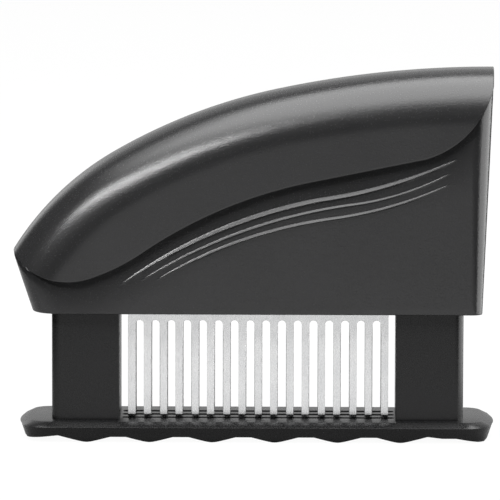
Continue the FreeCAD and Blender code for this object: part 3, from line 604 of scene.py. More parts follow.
@dataclass
class HandleShell:
    """The moulded handle: arched cap with a lip, recessed side with swooshes, open mouth.

    Columns stand closer together at the nose and the tail, and rows at the lip, under the crease
    and over each swoosh: rows_between has their number and reach above each swoosh.
    """

    cap_round: float = 16.5
    cap_end_round: float = 0.45
    crown_inset: Pair = (0.85, 0.1)
    nose_rise: float = 18.7
    nose_heading: float = 58.9
    nose_corner: float = 9.0
    nose_foot_round: float = 0.4
    nose_foot_reach: float = 12.0
    tail_corner: float = 3.6
    tail_corner_growth: float = 0.05
    mouth_insets: Pair = (6.35, 4.25)
    mouth_drop: float = 0.4
    mouth_round: float = 0.45
    side_half_width: float = 17.1
    side_blend: float = 0.8
    lip_round: float = 0.45
    lip_softness: float = 0.4
    lip_growth: Pair = (2.0, 10.0)
    least_lip: float = 1.1
    least_lip_depth: float = 8.0
    scoop: float = 1.1
    scoop_reach: float = 15.0
    side_wall: float = 3.2
    end_wall: float = 2.6
    roof_wall: float = 2.8
    hollow_round: float = 9.0
    corner_loss: float = 1.5
    run_on: float = 40.0
    columns: int = 300
    nose_columns: tuple[float, int] = (0.085, 26)
    tail_columns: tuple[float, int] = (0.06, 22)
    column_gap: float = 0.002
    even_share: float = 0.2
    cap_rows: int = 30
    lower_rows: int = 20
    rim_rows: int = 6
    roof_columns: int = 240
    hollow_rows: int = 18
    hollow_crowding: float = 1.6
    lip_rows: tuple[float, ...] = (0.0, 0.08, 0.18, 0.3, 0.48, 0.75)
    lip_rows_depth: float = 4.0
    crease_rows: tuple[float, ...] = (0.0, 0.04, 0.09, 0.15, 0.23, 0.33, 0.45, 0.6, 0.8, 1.05,
                                      1.35, 1.7)
    band_rows: tuple[float, ...] = (-1, -0.85, -0.72, -0.6, -0.48, -0.36, -0.24, -0.12, 0, 0.08,
                                    0.15, 0.21, 0.27, 0.33, 0.39, 0.46, 0.54, 0.64, 0.8, 1)
    band: float = 1.15
    band_gap: float = 2.0
    band_margin: float = 3.2
    band_share: float = 0.49
    rows_between: tuple[tuple[int, float], ...] = ((5, 0.48), (3, 0.98), (3, 0.98))
    low_side: float = 16.0

    def __post_init__(self) -> None:
        """Takes the places of nose, crown and mouth from the frame and draws the lines."""
        box = Extent.of("handle_shell")
        self.cap_half_width = box.high[1]
        self.mouth_z = box.low[2] - self.mouth_drop
        self.nose = (box.low[0], self.mouth_z + self.nose_rise)
        self.crown = (box.high[0] - self.crown_inset[0], box.high[2] - self.crown_inset[1])
        self.mouth_nose = box.low[0] + self.mouth_insets[0]
        self.mouth_tail = box.high[0] - self.mouth_insets[1]
        self.arch = DrawnLine(self.nose, (
            Stretch((-43.44, 90.8), 91.6), Stretch((6.21, 110.0), 175.5),
            Stretch(self.crown, 320.8)))
        self.crease = DrawnLine(self.nose, (
            Stretch((-52.3, 51.8), -22.3), Stretch((-35.1, 60.3), -65.8),
            Stretch((18.3, 82.9), 144.6), Stretch((54.0, 90.2)), Stretch((75.2, 112.6), -31.0)))
        heading = math.radians(self.nose_heading)
        before = (self.nose[0] - self.run_on * math.cos(heading),
                  self.nose[1] - self.run_on * math.sin(heading))
        beyond = Stretch((self.crown[0] + self.run_on, self.crown[1]))
        self.long_arch = DrawnLine(before, (Stretch(self.nose), *self.arch.stretches, beyond))
        upper = (Stretch((20.8, 77.05), 163.0), Stretch((63.5, 89.9), -150.0))
        middle = (Stretch((31.0, 75.7), 169.7), Stretch((61.5, 85.7), -87.0))
        lower = (Stretch((24.2, 71.2), 147.8), Stretch((61.3, 82.2), -125.0))
        self.swooshes = (Swoosh(DrawnLine((-41.6, 50.4), upper), 0.84, 0.66),
                         Swoosh(DrawnLine((-35.3, 51.6), middle), 0.5, 0.44),
                         Swoosh(DrawnLine((-30.3, 51.9), lower), 0.58, 0.52))

    def nose_x(self, z: Array) -> Array:
        """X of the leaning nose end at a height, with its rounded foot."""
        slope = (self.nose[0] - self.mouth_nose) / (self.nose[1] - self.mouth_z)
        up = z - self.mouth_z
        return self.mouth_nose + slope * up + fall(up, self.nose_foot_round)

    def tail_x(self, z: Array) -> Array:
        """X of the leaning tail end at a height."""
        slope = (self.crown[0] - self.mouth_tail) / (self.crown[1] - self.mouth_z)
        return self.mouth_tail + slope * (z - self.mouth_z)

    def spacing(self) -> Array:
        """Spaces the handle's columns, close together at both ends.

        Returns:
            The shares of the crease's length at which they stand.
        """
        nose, tail = bunched(*self.nose_columns), 1 - bunched(*self.tail_columns)
        middle = np.linspace(0, 1, self.columns)
        inside = (middle > nose[-1] + self.column_gap) & (middle < tail[-1] - self.column_gap)
        return np.concatenate([nose, middle[inside], tail[::-1]])

    def cap_places(self, shares: Array) -> Array:
        """Places of the cap's grid in the plane of the side, from the crest down to the crease.

        Args:
            shares: shares of the crease's length, one for each column.

        Returns:
            Rows and columns of (x, z).
        """
        crease = self.crease.at(shares)
        ideal = np.maximum.accumulate(self.arch.nearest(crease)[1])
        weight = np.clip(1 - shares / self.even_share, 0, 1) ** 2
        foot = ideal * (1 - weight) + weight * np.minimum(ideal, shares)
        foot[0], foot[-1] = 0.0, 1.0
        crest = self.arch.at(np.maximum.accumulate(foot))
        near_lip = np.array(self.lip_rows)
        columns = []
        for top, low, reach in zip(crest, crease, np.hypot(*(crease - crest).T)):
            depth = max(reach, TINY)
            arc = self.cap_round * math.acos(max(0.0, 1 - depth / self.cap_round))
            lip = near_lip * min(1.0, depth / self.lip_rows_depth)
            whole = arc + max(depth - self.cap_round, 0.0)
            main = np.linspace(0, whole - lip[-1], self.cap_rows)
            curved = self.cap_round * (1 - np.cos(np.minimum(main, arc) / self.cap_round))
            depths = np.where(main < arc, curved, self.cap_round + main - arc)
            depths = np.concatenate([depths[:-1], (depth - lip)[::-1]])
            share = np.clip(depths / depth, 0, 1)[:, None]
            columns.append(top * (1 - share) + low * share)
        return np.stack(columns, axis=1)

    def side_places(self, shares: Array) -> Array:
        """Places of the side's grid, from the crease down to the mouth.

        Args:
            shares: shares of the crease's length, one for each column.

        Returns:
            Rows and columns of (x, z).
        """
        crease = self.crease.at(shares)
        span = (crease[:, 0] - crease[0, 0]) / (crease[-1, 0] - crease[0, 0])
        mouth = np.stack([self.mouth_nose + span * (self.mouth_tail - self.mouth_nose),
                          np.full(len(shares), self.mouth_z)], axis=1)
        reach = np.hypot(*(mouth - crease).T)
        along = (mouth - crease) / reach[:, None]
        rim = bunched(self.mouth_round, self.rim_rows)
        crossings = [self.crossing(swoosh.line, crease, along) for swoosh in self.swooshes]
        columns = []
        for start, way, whole, middles in zip(crease, along, reach, np.stack(crossings, axis=1)):
            depths = self.side_depths(whole - rim[-1], middles)
            column = np.concatenate([*depths, whole - rim[::-1]])
            columns.append(start + way * column[:, None])
        places = np.stack(columns, axis=1)
        x, z = places[..., 0], places[..., 1]
        lift = fall(z - self.mouth_z, self.nose_foot_round)
        away = np.clip((x + lift - self.nose_x(z)) / self.nose_foot_reach, 0, 1)
        places[..., 0] = x + lift * (1 - away) ** 2
        return places

    def side_depths(self, end: float, middles: Array) -> list[Array]:
        """Distances from the crease of one column's rows, close together over each swoosh.

        Args:
            end: where the mouth's rounding begins.
            middles: where the column crosses the swooshes' lines.

        Returns:
            The distances down to the rounding, in groups.
        """
        scale = min(1.0, end / self.low_side)
        gap = self.band_gap * scale
        middles = np.clip(middles, self.band_margin * scale, end - self.band_margin * scale)
        middles[1] = np.clip(middles[1], middles[0] + gap, end - 2 * gap)
        middles[2] = np.clip(middles[2], middles[1] + gap, end - gap)
        middles[0] = min(middles[0], middles[1] - gap)
        rows = np.array(self.band_rows)
        low = min(self.band * scale, self.band_share * gap)
        depths = [np.array(self.crease_rows) * scale]
        for middle, (fill, share) in zip(middles, self.rows_between):
            above = depths[-1][-1]
            high = min(self.band * scale, share * (middle - above))
            depths.append(np.linspace(above, middle - high, fill + 2)[1:-1])
            depths.append(middle + rows * np.where(rows < 0, high, low))
        depths.append(np.linspace(depths[-1][-1], end, self.lower_rows)[1:-1])
        return depths

    def crossing(self, line: DrawnLine, starts: Array, along: Array) -> Array:
        """How far down each column of the side a line runs, prolonged past both its ends.

        Args:
            line: the line.
            starts: where each column leaves the crease.
            along: direction of each column.

        Returns:
            Distance from the crease to the line on each column.
        """
        points = line.points
        first, last = points[0] - points[1], points[-1] - points[-2]
        run = 2 * self.run_on
        long = np.vstack([points[0] + first / np.hypot(*first) * run, points,
                          points[-1] + last / np.hypot(*last) * run])
        depths = np.empty(len(starts))
        for k, (start, way) in enumerate(zip(starts, along)):
            rel = long - start
            side = rel[:, 0] * way[1] - rel[:, 1] * way[0]
            turn = np.nonzero(np.diff(np.sign(side)))[0]
            if len(turn) == 0:
                depths[k] = depths[k - 1] if k else 0.0
                continue
            j = turn[0]
            share = side[j] / (side[j] - side[j + 1])
            depths[k] = (rel[j] + (rel[j + 1] - rel[j]) * share) @ way
        return depths

    def cap_height(self, places: Array) -> Array:
        """Half width of the cap at places below the arch.

        Args:
            places: an array of (x, z) rows.

        Returns:
            The half width at each place.
        """
        depth, _ = self.long_arch.nearest(places)
        ends = fall(self.tail_x(places[:, 1]) - places[:, 0], self.cap_end_round)
        return self.cap_half_width - fall(depth, self.cap_round) - ends

    def body_height(self, places: Array) -> Array:
        """Half width of the body under the lip, with its rounded upright corners.

        Args:
            places: an array of (x, z) rows.

        Returns:
            The half width at each place.
        """
        x, z = places[:, 0], places[:, 1]
        nose = fall(x - self.nose_x(z), self.nose_corner)
        corner = self.tail_corner + self.tail_corner_growth * (z - self.mouth_z)
        tail = corner * fall((self.tail_x(z) - x) / corner, 1.0)
        depth, _ = self.long_arch.nearest(places)
        under = self.cap_half_width - fall(depth, self.cap_round)
        under = under - self.least_lip * np.clip(depth / self.least_lip_depth, 0, 1)
        return smooth_min(self.side_half_width - nose - tail, under, self.side_blend)

    def outer_half(self) -> Array:
        """The outer surface on one side.

        Returns:
            Rows of (x, y, z) from the crest to the mouth.
        """
        shares = self.spacing()
        cap = self.cap_places(shares)
        side = self.side_places(shares)
        cap_y = self.cap_height(cap.reshape(-1, 2)).reshape(cap.shape[:2])
        lip_y = cap_y[-1]
        flat, shape = side.reshape(-1, 2), side.shape[:2]
        below = np.abs(self.crease.nearest(flat)[0]).reshape(shape)
        side_y = self.body_height(flat).reshape(shape)
        side_y = side_y - self.scoop * np.clip(1 - below / self.scoop_reach, 0, 1) ** 2
        for swoosh in self.swooshes:
            side_y = side_y + swoosh.relief(flat).reshape(shape)
        side_y = side_y - fall(side[..., 1] - self.mouth_z, self.mouth_round)
        softness = self.lip_round * self.lip_softness
        strength = np.clip((lip_y - self.lip_growth[0]) / self.lip_growth[1], 0, 1)
        above = np.hypot(*(cap - cap[-1][None]).transpose(2, 0, 1))
        cap_y = cap_y - softness * strength * np.clip(1 - above / self.lip_round, 0, 1) ** 2
        side_y = side_y - softness * strength * np.clip(1 - below / self.lip_round, 0, 1) ** 2
        side_y[0] = cap_y[-1]
        places = np.concatenate([cap, side[1:]])
        heights = np.concatenate([cap_y, side_y[1:]])
        return np.stack([places[..., 0], heights, places[..., 1]], axis=2)

    def hollow_half(self, columns: int) -> Array:
        """The hollow on one side.

        Args:
            columns: how many columns the outer surface has.

        Returns:
            Rows of (x, y, z) from the hollow's roof to the mouth.
        """
        crest = self.arch.at(np.linspace(0, 1, self.roof_columns))
        ahead = np.gradient(crest, axis=0)
        ahead /= np.hypot(*ahead.T)[:, None]
        roof = crest + self.roof_wall * np.stack([ahead[:, 1], -ahead[:, 0]], axis=1)
        left = self.nose_x(roof[:, 1]) + self.end_wall
        right = self.tail_x(roof[:, 1]) - self.end_wall
        keep = roof[(roof[:, 0] > left) & (roof[:, 0] < right)]
        ends = [(self.nose_x(keep[0, 1]) + self.end_wall, keep[0, 1]),
                (self.tail_x(keep[-1, 1]) - self.end_wall, keep[-1, 1])]
        inner = [Stretch(tuple(place)) for place in keep[1:-1]]
        line = DrawnLine(ends[0], (*inner, Stretch(ends[1])), step=5.0)
        top = line.at(np.linspace(0, 1, columns))
        span = (top[:, 0] - top[0, 0]) / (top[-1, 0] - top[0, 0])
        foot_left = self.mouth_nose + self.end_wall
        foot_right = self.mouth_tail - self.end_wall
        foot = np.stack([foot_left + span * (foot_right - foot_left),
                         np.full(columns, self.mouth_z)], axis=1)
        share = np.linspace(0, 1, self.hollow_rows)[:, None, None] ** self.hollow_crowding
        places = top[None] * (1 - share) + foot[None] * share
        depth, _ = self.long_arch.nearest(places.reshape(-1, 2))
        half = self.side_half_width - self.side_wall
        y = (half - fall(depth - self.roof_wall, self.hollow_round)).reshape(places.shape[:2])
        x, z = places[..., 0], places[..., 1]
        y = y - fall(x - self.nose_x(z) - self.end_wall, self.nose_corner - self.corner_loss)
        y = y - fall(self.tail_x(z) - self.end_wall - x, self.tail_corner - self.corner_loss)
        return np.stack([x, y, z], axis=2)

    def build(self) -> Piece:
        """Makes the handle's mesh.

        Returns:
            The object that stands for the handle shell.
        """
        flip = np.array([1.0, -1.0, 1.0])
        outer = self.outer_half()
        hollow = self.hollow_half(outer.shape[1])
        draft = MeshDraft()
        for surface in (outer, hollow):
            draft.grid(surface)
            draft.grid(surface * flip)
            level = surface[0] * (1, 0, 1)
            draft.grid(np.stack([surface[0], level, surface[0] * flip]))
            for column in (0, -1):
                edge = surface[:, column]
                draft.grid(np.stack([edge, edge * flip]))
        for way in (np.ones(3), flip):
            draft.grid(np.stack([outer[-1] * way, hollow[-1] * way]))
        for column in (0, -1):
            rim = np.stack([outer[-1, column], hollow[-1, column]])
            draft.grid(np.stack([rim, rim * flip]))
        return draft.make("handle_moulding", merge=0.004, sharp=34.0)


# ---- Blade combs ----


@dataclass
class StampedComb:
    """A stamped steel comb: 17 tines, full-round slots, ground tips and paired ground edges."""

    row: str
    tines: int = 17
    tine_width: float = 2.4
    slot_root: float = 36.2
    tip_lift: float = 0.5
    tip_grind: float = 0.9
    tip_corner: float = 1.0
    tip_chamfer: float = 0.15
    least_tip: float = 0.1
    edge_grind: float = 0.16
    grind_end: float = 4.0
    arc_steps: int = 14
    weld: float = 0.01
    burr_angle: float = 25.0
    burr_round: float = 0.06
    sharp: float = 12.0

    def __post_init__(self) -> None:
        """Takes the comb's place from the frame."""
        self.box = Extent.of(f"blade_comb_{self.row}")
        self.pitch = (self.box.size[0] - self.tine_width) / (self.tines - 1)

    def outline(self, inset: float, tip_rise: float) -> Array:
        """One face's outline, anticlockwise from the lower left corner.

        Args:
            inset: how far the ground edges stand back on this face.
            tip_rise: how far the ground tips end above the points.

        Returns:
            The outline's points as (x, z) rows.
        """
        left, top = self.box.low[0], self.box.high[2]
        tip = self.box.low[2] + self.tip_lift
        points: list[Pair] = []
        for number in range(self.tines):
            start = left + number * self.pitch
            end = start + self.tine_width
            odd, even = number % 2 == 1, number % 2 == 0 and number > 0
            ground_left, cut_left = (inset, self.tip_corner) if even else (0.0, self.tip_chamfer)
            ground_right, cut_right = (inset, self.tip_corner) if odd else (0.0, self.tip_chamfer)
            low = tip + tip_rise
            points += [(start + ground_left, max(low, tip + cut_left)),
                       (start + max(cut_left - tip_rise, ground_left + self.least_tip), low),
                       (end - max(cut_right - tip_rise, ground_right + self.least_tip), low),
                       (end - ground_right, max(low, tip + cut_right))]
            if number == self.tines - 1:
                continue
            radius = (self.pitch - self.tine_width) / 2
            middle = end + radius
            points.append((end - ground_right, self.slot_root - self.grind_end))
            for k in range(self.arc_steps + 1):
                angle = math.pi * (1 - k / self.arc_steps)
                points.append((middle + radius * math.cos(angle),
                               self.slot_root + radius * math.sin(angle)))
            points.append((end + 2 * radius + ground_right, self.slot_root - self.grind_end))
        points += [(self.box.high[0], top), (left, top)]
        return np.array(points)

    def build(self) -> Piece:
        """Makes the comb's mesh.

        Returns:
            The object that stands for the comb.
        """
        front_y, back_y = self.box.low[1], self.box.high[1]
        front = self.outline(self.edge_grind, self.tip_grind)
        back = self.outline(0.0, 0.0)
        mesh = bpy.data.meshes.new(f"comb_{self.row}")
        work = bmesh.new()
        near = [work.verts.new((x * MM, front_y * MM, z * MM)) for x, z in front]
        far = [work.verts.new((x * MM, back_y * MM, z * MM)) for x, z in back]
        count = len(near)
        work.faces.new(near)
        work.faces.new(far[::-1])
        for k in range(count):
            other = (k + 1) % count
            work.faces.new((near[other], near[k], far[k], far[other]))
        bmesh.ops.dissolve_degenerate(work, edges=work.edges, dist=self.weld * MM)
        bmesh.ops.recalc_face_normals(work, faces=work.faces)
        least = math.radians(self.burr_angle)
        edges = [e for e in work.edges if e.is_manifold and e.calc_face_angle(0) > least]
        bmesh.ops.bevel(work, geom=edges, offset=self.burr_round * MM, segments=1,
                        affect="EDGES", clamp_overlap=True)
        work.to_mesh(mesh)
        work.free()
        return finish_object(f"comb_{self.row}", mesh, self.sharp)


# ---- Guard ----


@dataclass
class Column:
    """A hollow post of the guard with rounded outer corners and a sloping top."""

    side: str
    width: float = 21.4
    shift: float = -0.15
    corner: float = 3.0
    inner_corner: float = 0.5
    bore_corner: float = 0.8
    wall: float = 2.2
    floor_z: float = 9.4
    shoulder_run: float = 17.2
    top_drop: float = 15.1

    def __post_init__(self) -> None:
        """Takes the column's place from the frame."""
        self.box = Extent.of(f"column_{self.side}")
        self.foot_z = Extent.of("guard_plate").high[2]
        self.way = 1.0 if self.side == "right" else -1.0
        side_x = self.box.high[0] if self.way > 0 else self.box.low[0]
        self.centre_x = side_x - self.way * self.width / 2 + self.shift

    def rim(self, points: Array) -> Array:
        """Heights of the sloping top over an outline.

        Args:
            points: the outline's (x, y) rows.

        Returns:
            The height at each.
        """
        edge = self.centre_x + self.way * self.width / 2
        shoulder = edge - self.way * self.shoulder_run
        top_z, side_z = self.box.high[2], self.box.high[2] - self.top_drop
        share = np.clip((points[:, 0] - edge) / (shoulder - edge), 0, 1)
        return side_z + (top_z - side_z) * share

    def build(self) -> Piece:
        """Makes the column's mesh.

        Returns:
            The object that stands for the column.
        """
        half, depth, centre = self.width / 2, self.box.high[1], (self.centre_x, 0.0)
        corners = (self.corner, self.inner_corner)[::int(self.way)]
        outer = rounded_rectangle(half, depth, corners, centre)
        bore = rounded_rectangle(half - self.wall, depth - self.wall,
                                 (self.bore_corner, self.bore_corner), centre)
        foot, floor = lifted(outer, self.foot_z), lifted(bore, self.floor_z)
        draft = MeshDraft()
        draft.grid(np.stack([foot, lifted(outer, self.rim(outer)), lifted(bore, self.rim(bore)),
                             floor]), wrap=True)
        draft.polygon(foot)
        draft.polygon(floor)
        return draft.make(f"post_{self.side}", sharp=34.0)


@dataclass
class GuardPlate:
    """The foot: leaning sides, bevelled rim, three blade slots and a lobed underside."""

    half_width: float = 19.0
    corner: float = 8.0
    end_bow: float = 55.0
    undercut: float = 1.6
    longer: float = 0.47
    rim_z: float = 4.8
    rim_soft: float = 0.25
    rim_bevel: Pair = (0.35, 0.28)
    plateau_inset: float = 3.0
    plateau_soft: float = 0.06
    slot_length: float = 85.3
    slot_width: float = 2.2
    slot_corner: float = 0.5
    first_lobe: float = -52.7
    lobe_pitch: float = 19.8
    lobes: int = 6
    valley_z: float = 1.7
    flank_slope: float = 0.28
    lobe_round: float = 0.413
    nose_relief: tuple[Pair, ...] = ((-73.0, 0.9), (-66.0, 1.7), (-60.5, 2.3))
    tail_relief: tuple[Pair, ...] = ((54.0, 2.15), (59.5, 1.45), (64.0, 1.45), (70.8, 0.25),
                                     (73.5, 0.0))
    screw_head: Pair = (2.85, 3.7)
    screw_hole: Pair = (1.6, 5.1)
    edge: float = 0.5
    belly_steps: int = 420
    circle_steps: int = 32
    sharp: float = 30.0
    clear: float = 3.0

    def __post_init__(self) -> None:
        """Takes the plate's place from the frame."""
        self.box = Extent.of("guard_plate")
        self.half_length = self.box.size[0] / 2 + self.longer
        self.centre = self.box.centre[0] - self.longer
        self.plateau_z = self.box.high[2]

    def level(self, inset: float, steps: int = 12) -> Array:
        """One outline of the plate: straight sides, bowed ends and round corners.

        Args:
            inset: how far the outline stands in from the rim.
            steps: divisions of each corner and each bowed end.

        Returns:
            The outline's points as (x, y) rows.
        """
        length = self.half_length - inset
        width = self.half_width - inset
        corner = self.corner - max(inset, 0.0)
        shoulder = width - corner
        back = shoulder ** 2 / (2 * self.end_bow)
        end = length - back
        right = []
        for k in range(steps):
            angle = QUARTER * k / steps
            right.append((end - corner + corner * math.sin(angle),
                          -width + corner - corner * math.cos(angle)))
        for k in range(steps + 1):
            y = -shoulder + shoulder * 2 * k / steps
            right.append((end + back * (1 - (y / shoulder) ** 2), y))
        for k in range(1, steps + 1):
            angle = QUARTER * k / steps
            right.append((end - corner + corner * math.cos(angle),
                          width - corner + corner * math.sin(angle)))
        left = np.array(right[::-1]) * (-1, 1)
        return np.concatenate([right, left]) + (self.centre, 0)

    def underside(self, xs: Array) -> Array:
        """Height of the lobed underside along the plate.

        Args:
            xs: places along the X axis.

        Returns:
            The height at each.
        """
        first, last = self.first_lobe, self.first_lobe + (self.lobes - 1) * self.lobe_pitch
        ends = ((first, self.nose_relief[-1][1]), (first + 0.1, self.valley_z),
                (last, self.valley_z), (last + 0.1, self.tail_relief[0][1]))
        knots = np.array(self.nose_relief + ends + self.tail_relief)
        height = np.interp(xs, knots[:, 0], knots[:, 1])
        for number in range(self.lobes):
            gap = xs - first - number * self.lobe_pitch
            lobe = np.hypot(self.flank_slope * gap, self.lobe_round) - self.lobe_round
            height = np.minimum(height, lobe)
        return height

    def build(self) -> Piece:
        """Makes the plate's mesh.

        Returns:
            The object that stands for the guard plate.
        """
        soft, bevel = self.rim_soft, self.rim_bevel
        profile = ((self.undercut + 0.4, -0.5), (self.undercut, 0.4), (0.2, self.rim_z - soft),
                   (0.0, self.rim_z), (bevel[0], self.rim_z + bevel[1]),
                   (self.plateau_inset - soft, self.plateau_z - self.plateau_soft),
                   (self.plateau_inset, self.plateau_z))
        rings = [lifted(self.level(inset), z) for inset, z in profile]
        plate = tube("guard_foot", rings, sharp=self.sharp)
        cutters = (self.belly_cutter(), *self.slot_cutters(), *self.screw_cutters())
        for cutter in cutters:
            cut = plate.modifiers.new(cutter.name, "BOOLEAN")
            cut.operation = "DIFFERENCE"
            cut.solver = "EXACT"
            cut.object = cutter
        whole = plate.data
        graph = bpy.context.evaluated_depsgraph_get()
        plate.data = bpy.data.meshes.new_from_object(plate.evaluated_get(graph))
        plate.modifiers.clear()
        bpy.data.meshes.remove(whole)
        shade(plate.data, plate.name, self.sharp)
        for cutter in cutters:
            bpy.data.objects.remove(cutter)
        return plate

    def belly_cutter(self) -> Piece:
        """The body under the plate that leaves its lobes standing.

        Returns:
            The cutter.
        """
        reach = self.half_length + 2
        xs = np.linspace(self.centre - reach, self.centre + reach, self.belly_steps)
        side = np.full(len(xs), self.half_width + self.clear)
        low, top = np.full(len(xs), -self.clear), self.underside(xs)
        rows = [np.column_stack([xs, y, z])
                for y, z in ((-side, low), (-side, top), (side, top), (side, low))]
        draft = MeshDraft()
        draft.grid(np.stack([*rows, rows[0]]))
        for k in (0, -1):
            draft.polygon(np.array([row[k] for row in rows]))
        return draft.make("cutter_belly")

    def slot_cutters(self) -> list[Piece]:
        """Bodies that open the blade slots, flared at the top.

        Returns:
            A cutter for each comb.
        """
        cutters = []
        edge, top = self.edge, self.plateau_z
        for row in ROWS:
            centre = Extent.of(f"blade_comb_{row}").centre[:2]
            rings = []
            for grow, z in ((0.0, -1.0), (0.0, top - edge), (edge, top), (edge, top + 1)):
                corner = self.slot_corner + grow
                ring = rounded_rectangle(self.slot_length / 2 + grow, self.slot_width / 2 + grow,
                                         (corner, corner), centre, steps=4)
                rings.append(lifted(ring, z))
            cutters.append(tube(f"cutter_slot_{row}", rings))
        return cutters

    def screw_cutters(self) -> list[Piece]:
        """Stepped round bodies that open a seat for the screw under each column.

        Returns:
            A cutter for each column.
        """
        cutters = []
        turn = np.linspace(0, 2 * math.pi, self.circle_steps, endpoint=False)
        circle = np.column_stack([np.cos(turn), np.sin(turn)])
        steps = ((self.screw_head[0], -1.0), self.screw_head,
                 (self.screw_hole[0], self.screw_head[1]), self.screw_hole)
        for side in SIDES:
            centre = np.array(Extent.of(f"column_{side}").centre[:2])
            rings = [lifted(centre + radius * circle, z) for radius, z in steps]
            cutters.append(tube(f"cutter_screw_{side}", rings))
        return cutters


# ---- Springs ----


@dataclass
class ReturnSpring:
    """A compression spring with closed ends, inside a column."""

    side: str
    turns: int = 10
    wire_radius: float = 0.55
    mean_radius: float = 4.3
    steps: int = 28
    section: int = 10
    closed_turns: float = 0.9
    closed_rise: float = 1.9
    stroke: float = 22.0

    def __post_init__(self) -> None:
        """Takes the spring's place from the frame."""
        self.box = Extent.of(f"return_spring_{self.side}")

    def build(self) -> Piece:
        """Makes the spring's mesh.

        Returns:
            The object that stands for the spring.
        """
        box = self.box
        low, high = box.low[2] + self.wire_radius, box.high[2] - self.wire_radius
        count = self.turns * self.steps
        share = np.linspace(0, 1, count + 1)
        angle = share * self.turns * 2 * math.pi
        closed = self.closed_turns / self.turns
        rise = self.wire_radius * self.closed_rise / (high - low)
        climb = np.interp(share, [0, closed, 1 - closed, 1], [0, rise, 1 - rise, 1])
        line = np.column_stack([box.centre[0] + self.mean_radius * np.cos(angle),
                                box.centre[1] + self.mean_radius * np.sin(angle),
                                low + climb * (high - low)])
        outward = np.column_stack([np.cos(angle), np.sin(angle), np.zeros(count + 1)])
        around = np.linspace(0, 2 * math.pi, self.section, endpoint=False)
        rings = (line[:, None, :] + self.wire_radius * (
            outward[:, None, :] * np.cos(around)[None, :, None]
            + np.array([0, 0, 1.0]) * np.sin(around)[None, :, None]))
        return tube(f"coil_{self.side}", rings, merge=0.0005, sharp=50.0)

    def settle(self, piece: Piece) -> None:
        """Gives the spring's object its own copy of its mesh.

        Args:
            piece: the spring's object.
        """
        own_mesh(piece)


# ---- Studio ----


def place_object(name: str, data: bpy.types.ID, place: Triple | Vector,
                 turn: Quaternion) -> Piece:
    """Adds an object for a lamp's or the camera's data.

    Args:
        name: name of the object.
        data: its data.
        place: where it stands, in metres.
        turn: how it is turned.

    Returns:
        The object.
    """
    made = bpy.data.objects.new(name, data)
    made.location = place
    made.rotation_mode = "QUATERNION"
    made.rotation_quaternion = turn
    bpy.context.scene.collection.objects.link(made)
    return made


@dataclass(frozen=True)
class Lamp:
    """A soft rectangular lamp that faces the tool: place and sides in metres, glare 1 is white."""

    name: str
    place: Triple
    size: Pair
    glare: float

    def hang(self, target: Vector) -> None:
        """Adds the lamp to the scene.

        Args:
            target: the place that it faces.
        """
        data = bpy.data.lights.new(self.name, "AREA")
        data.shape = "RECTANGLE"
        data.size, data.size_y = self.size
        data.energy = self.glare * math.pi * self.size[0] * self.size[1]
        facing = Vector(self.place) - target
        place_object(self.name, data, self.place, facing.to_track_quat("Z", "Y"))


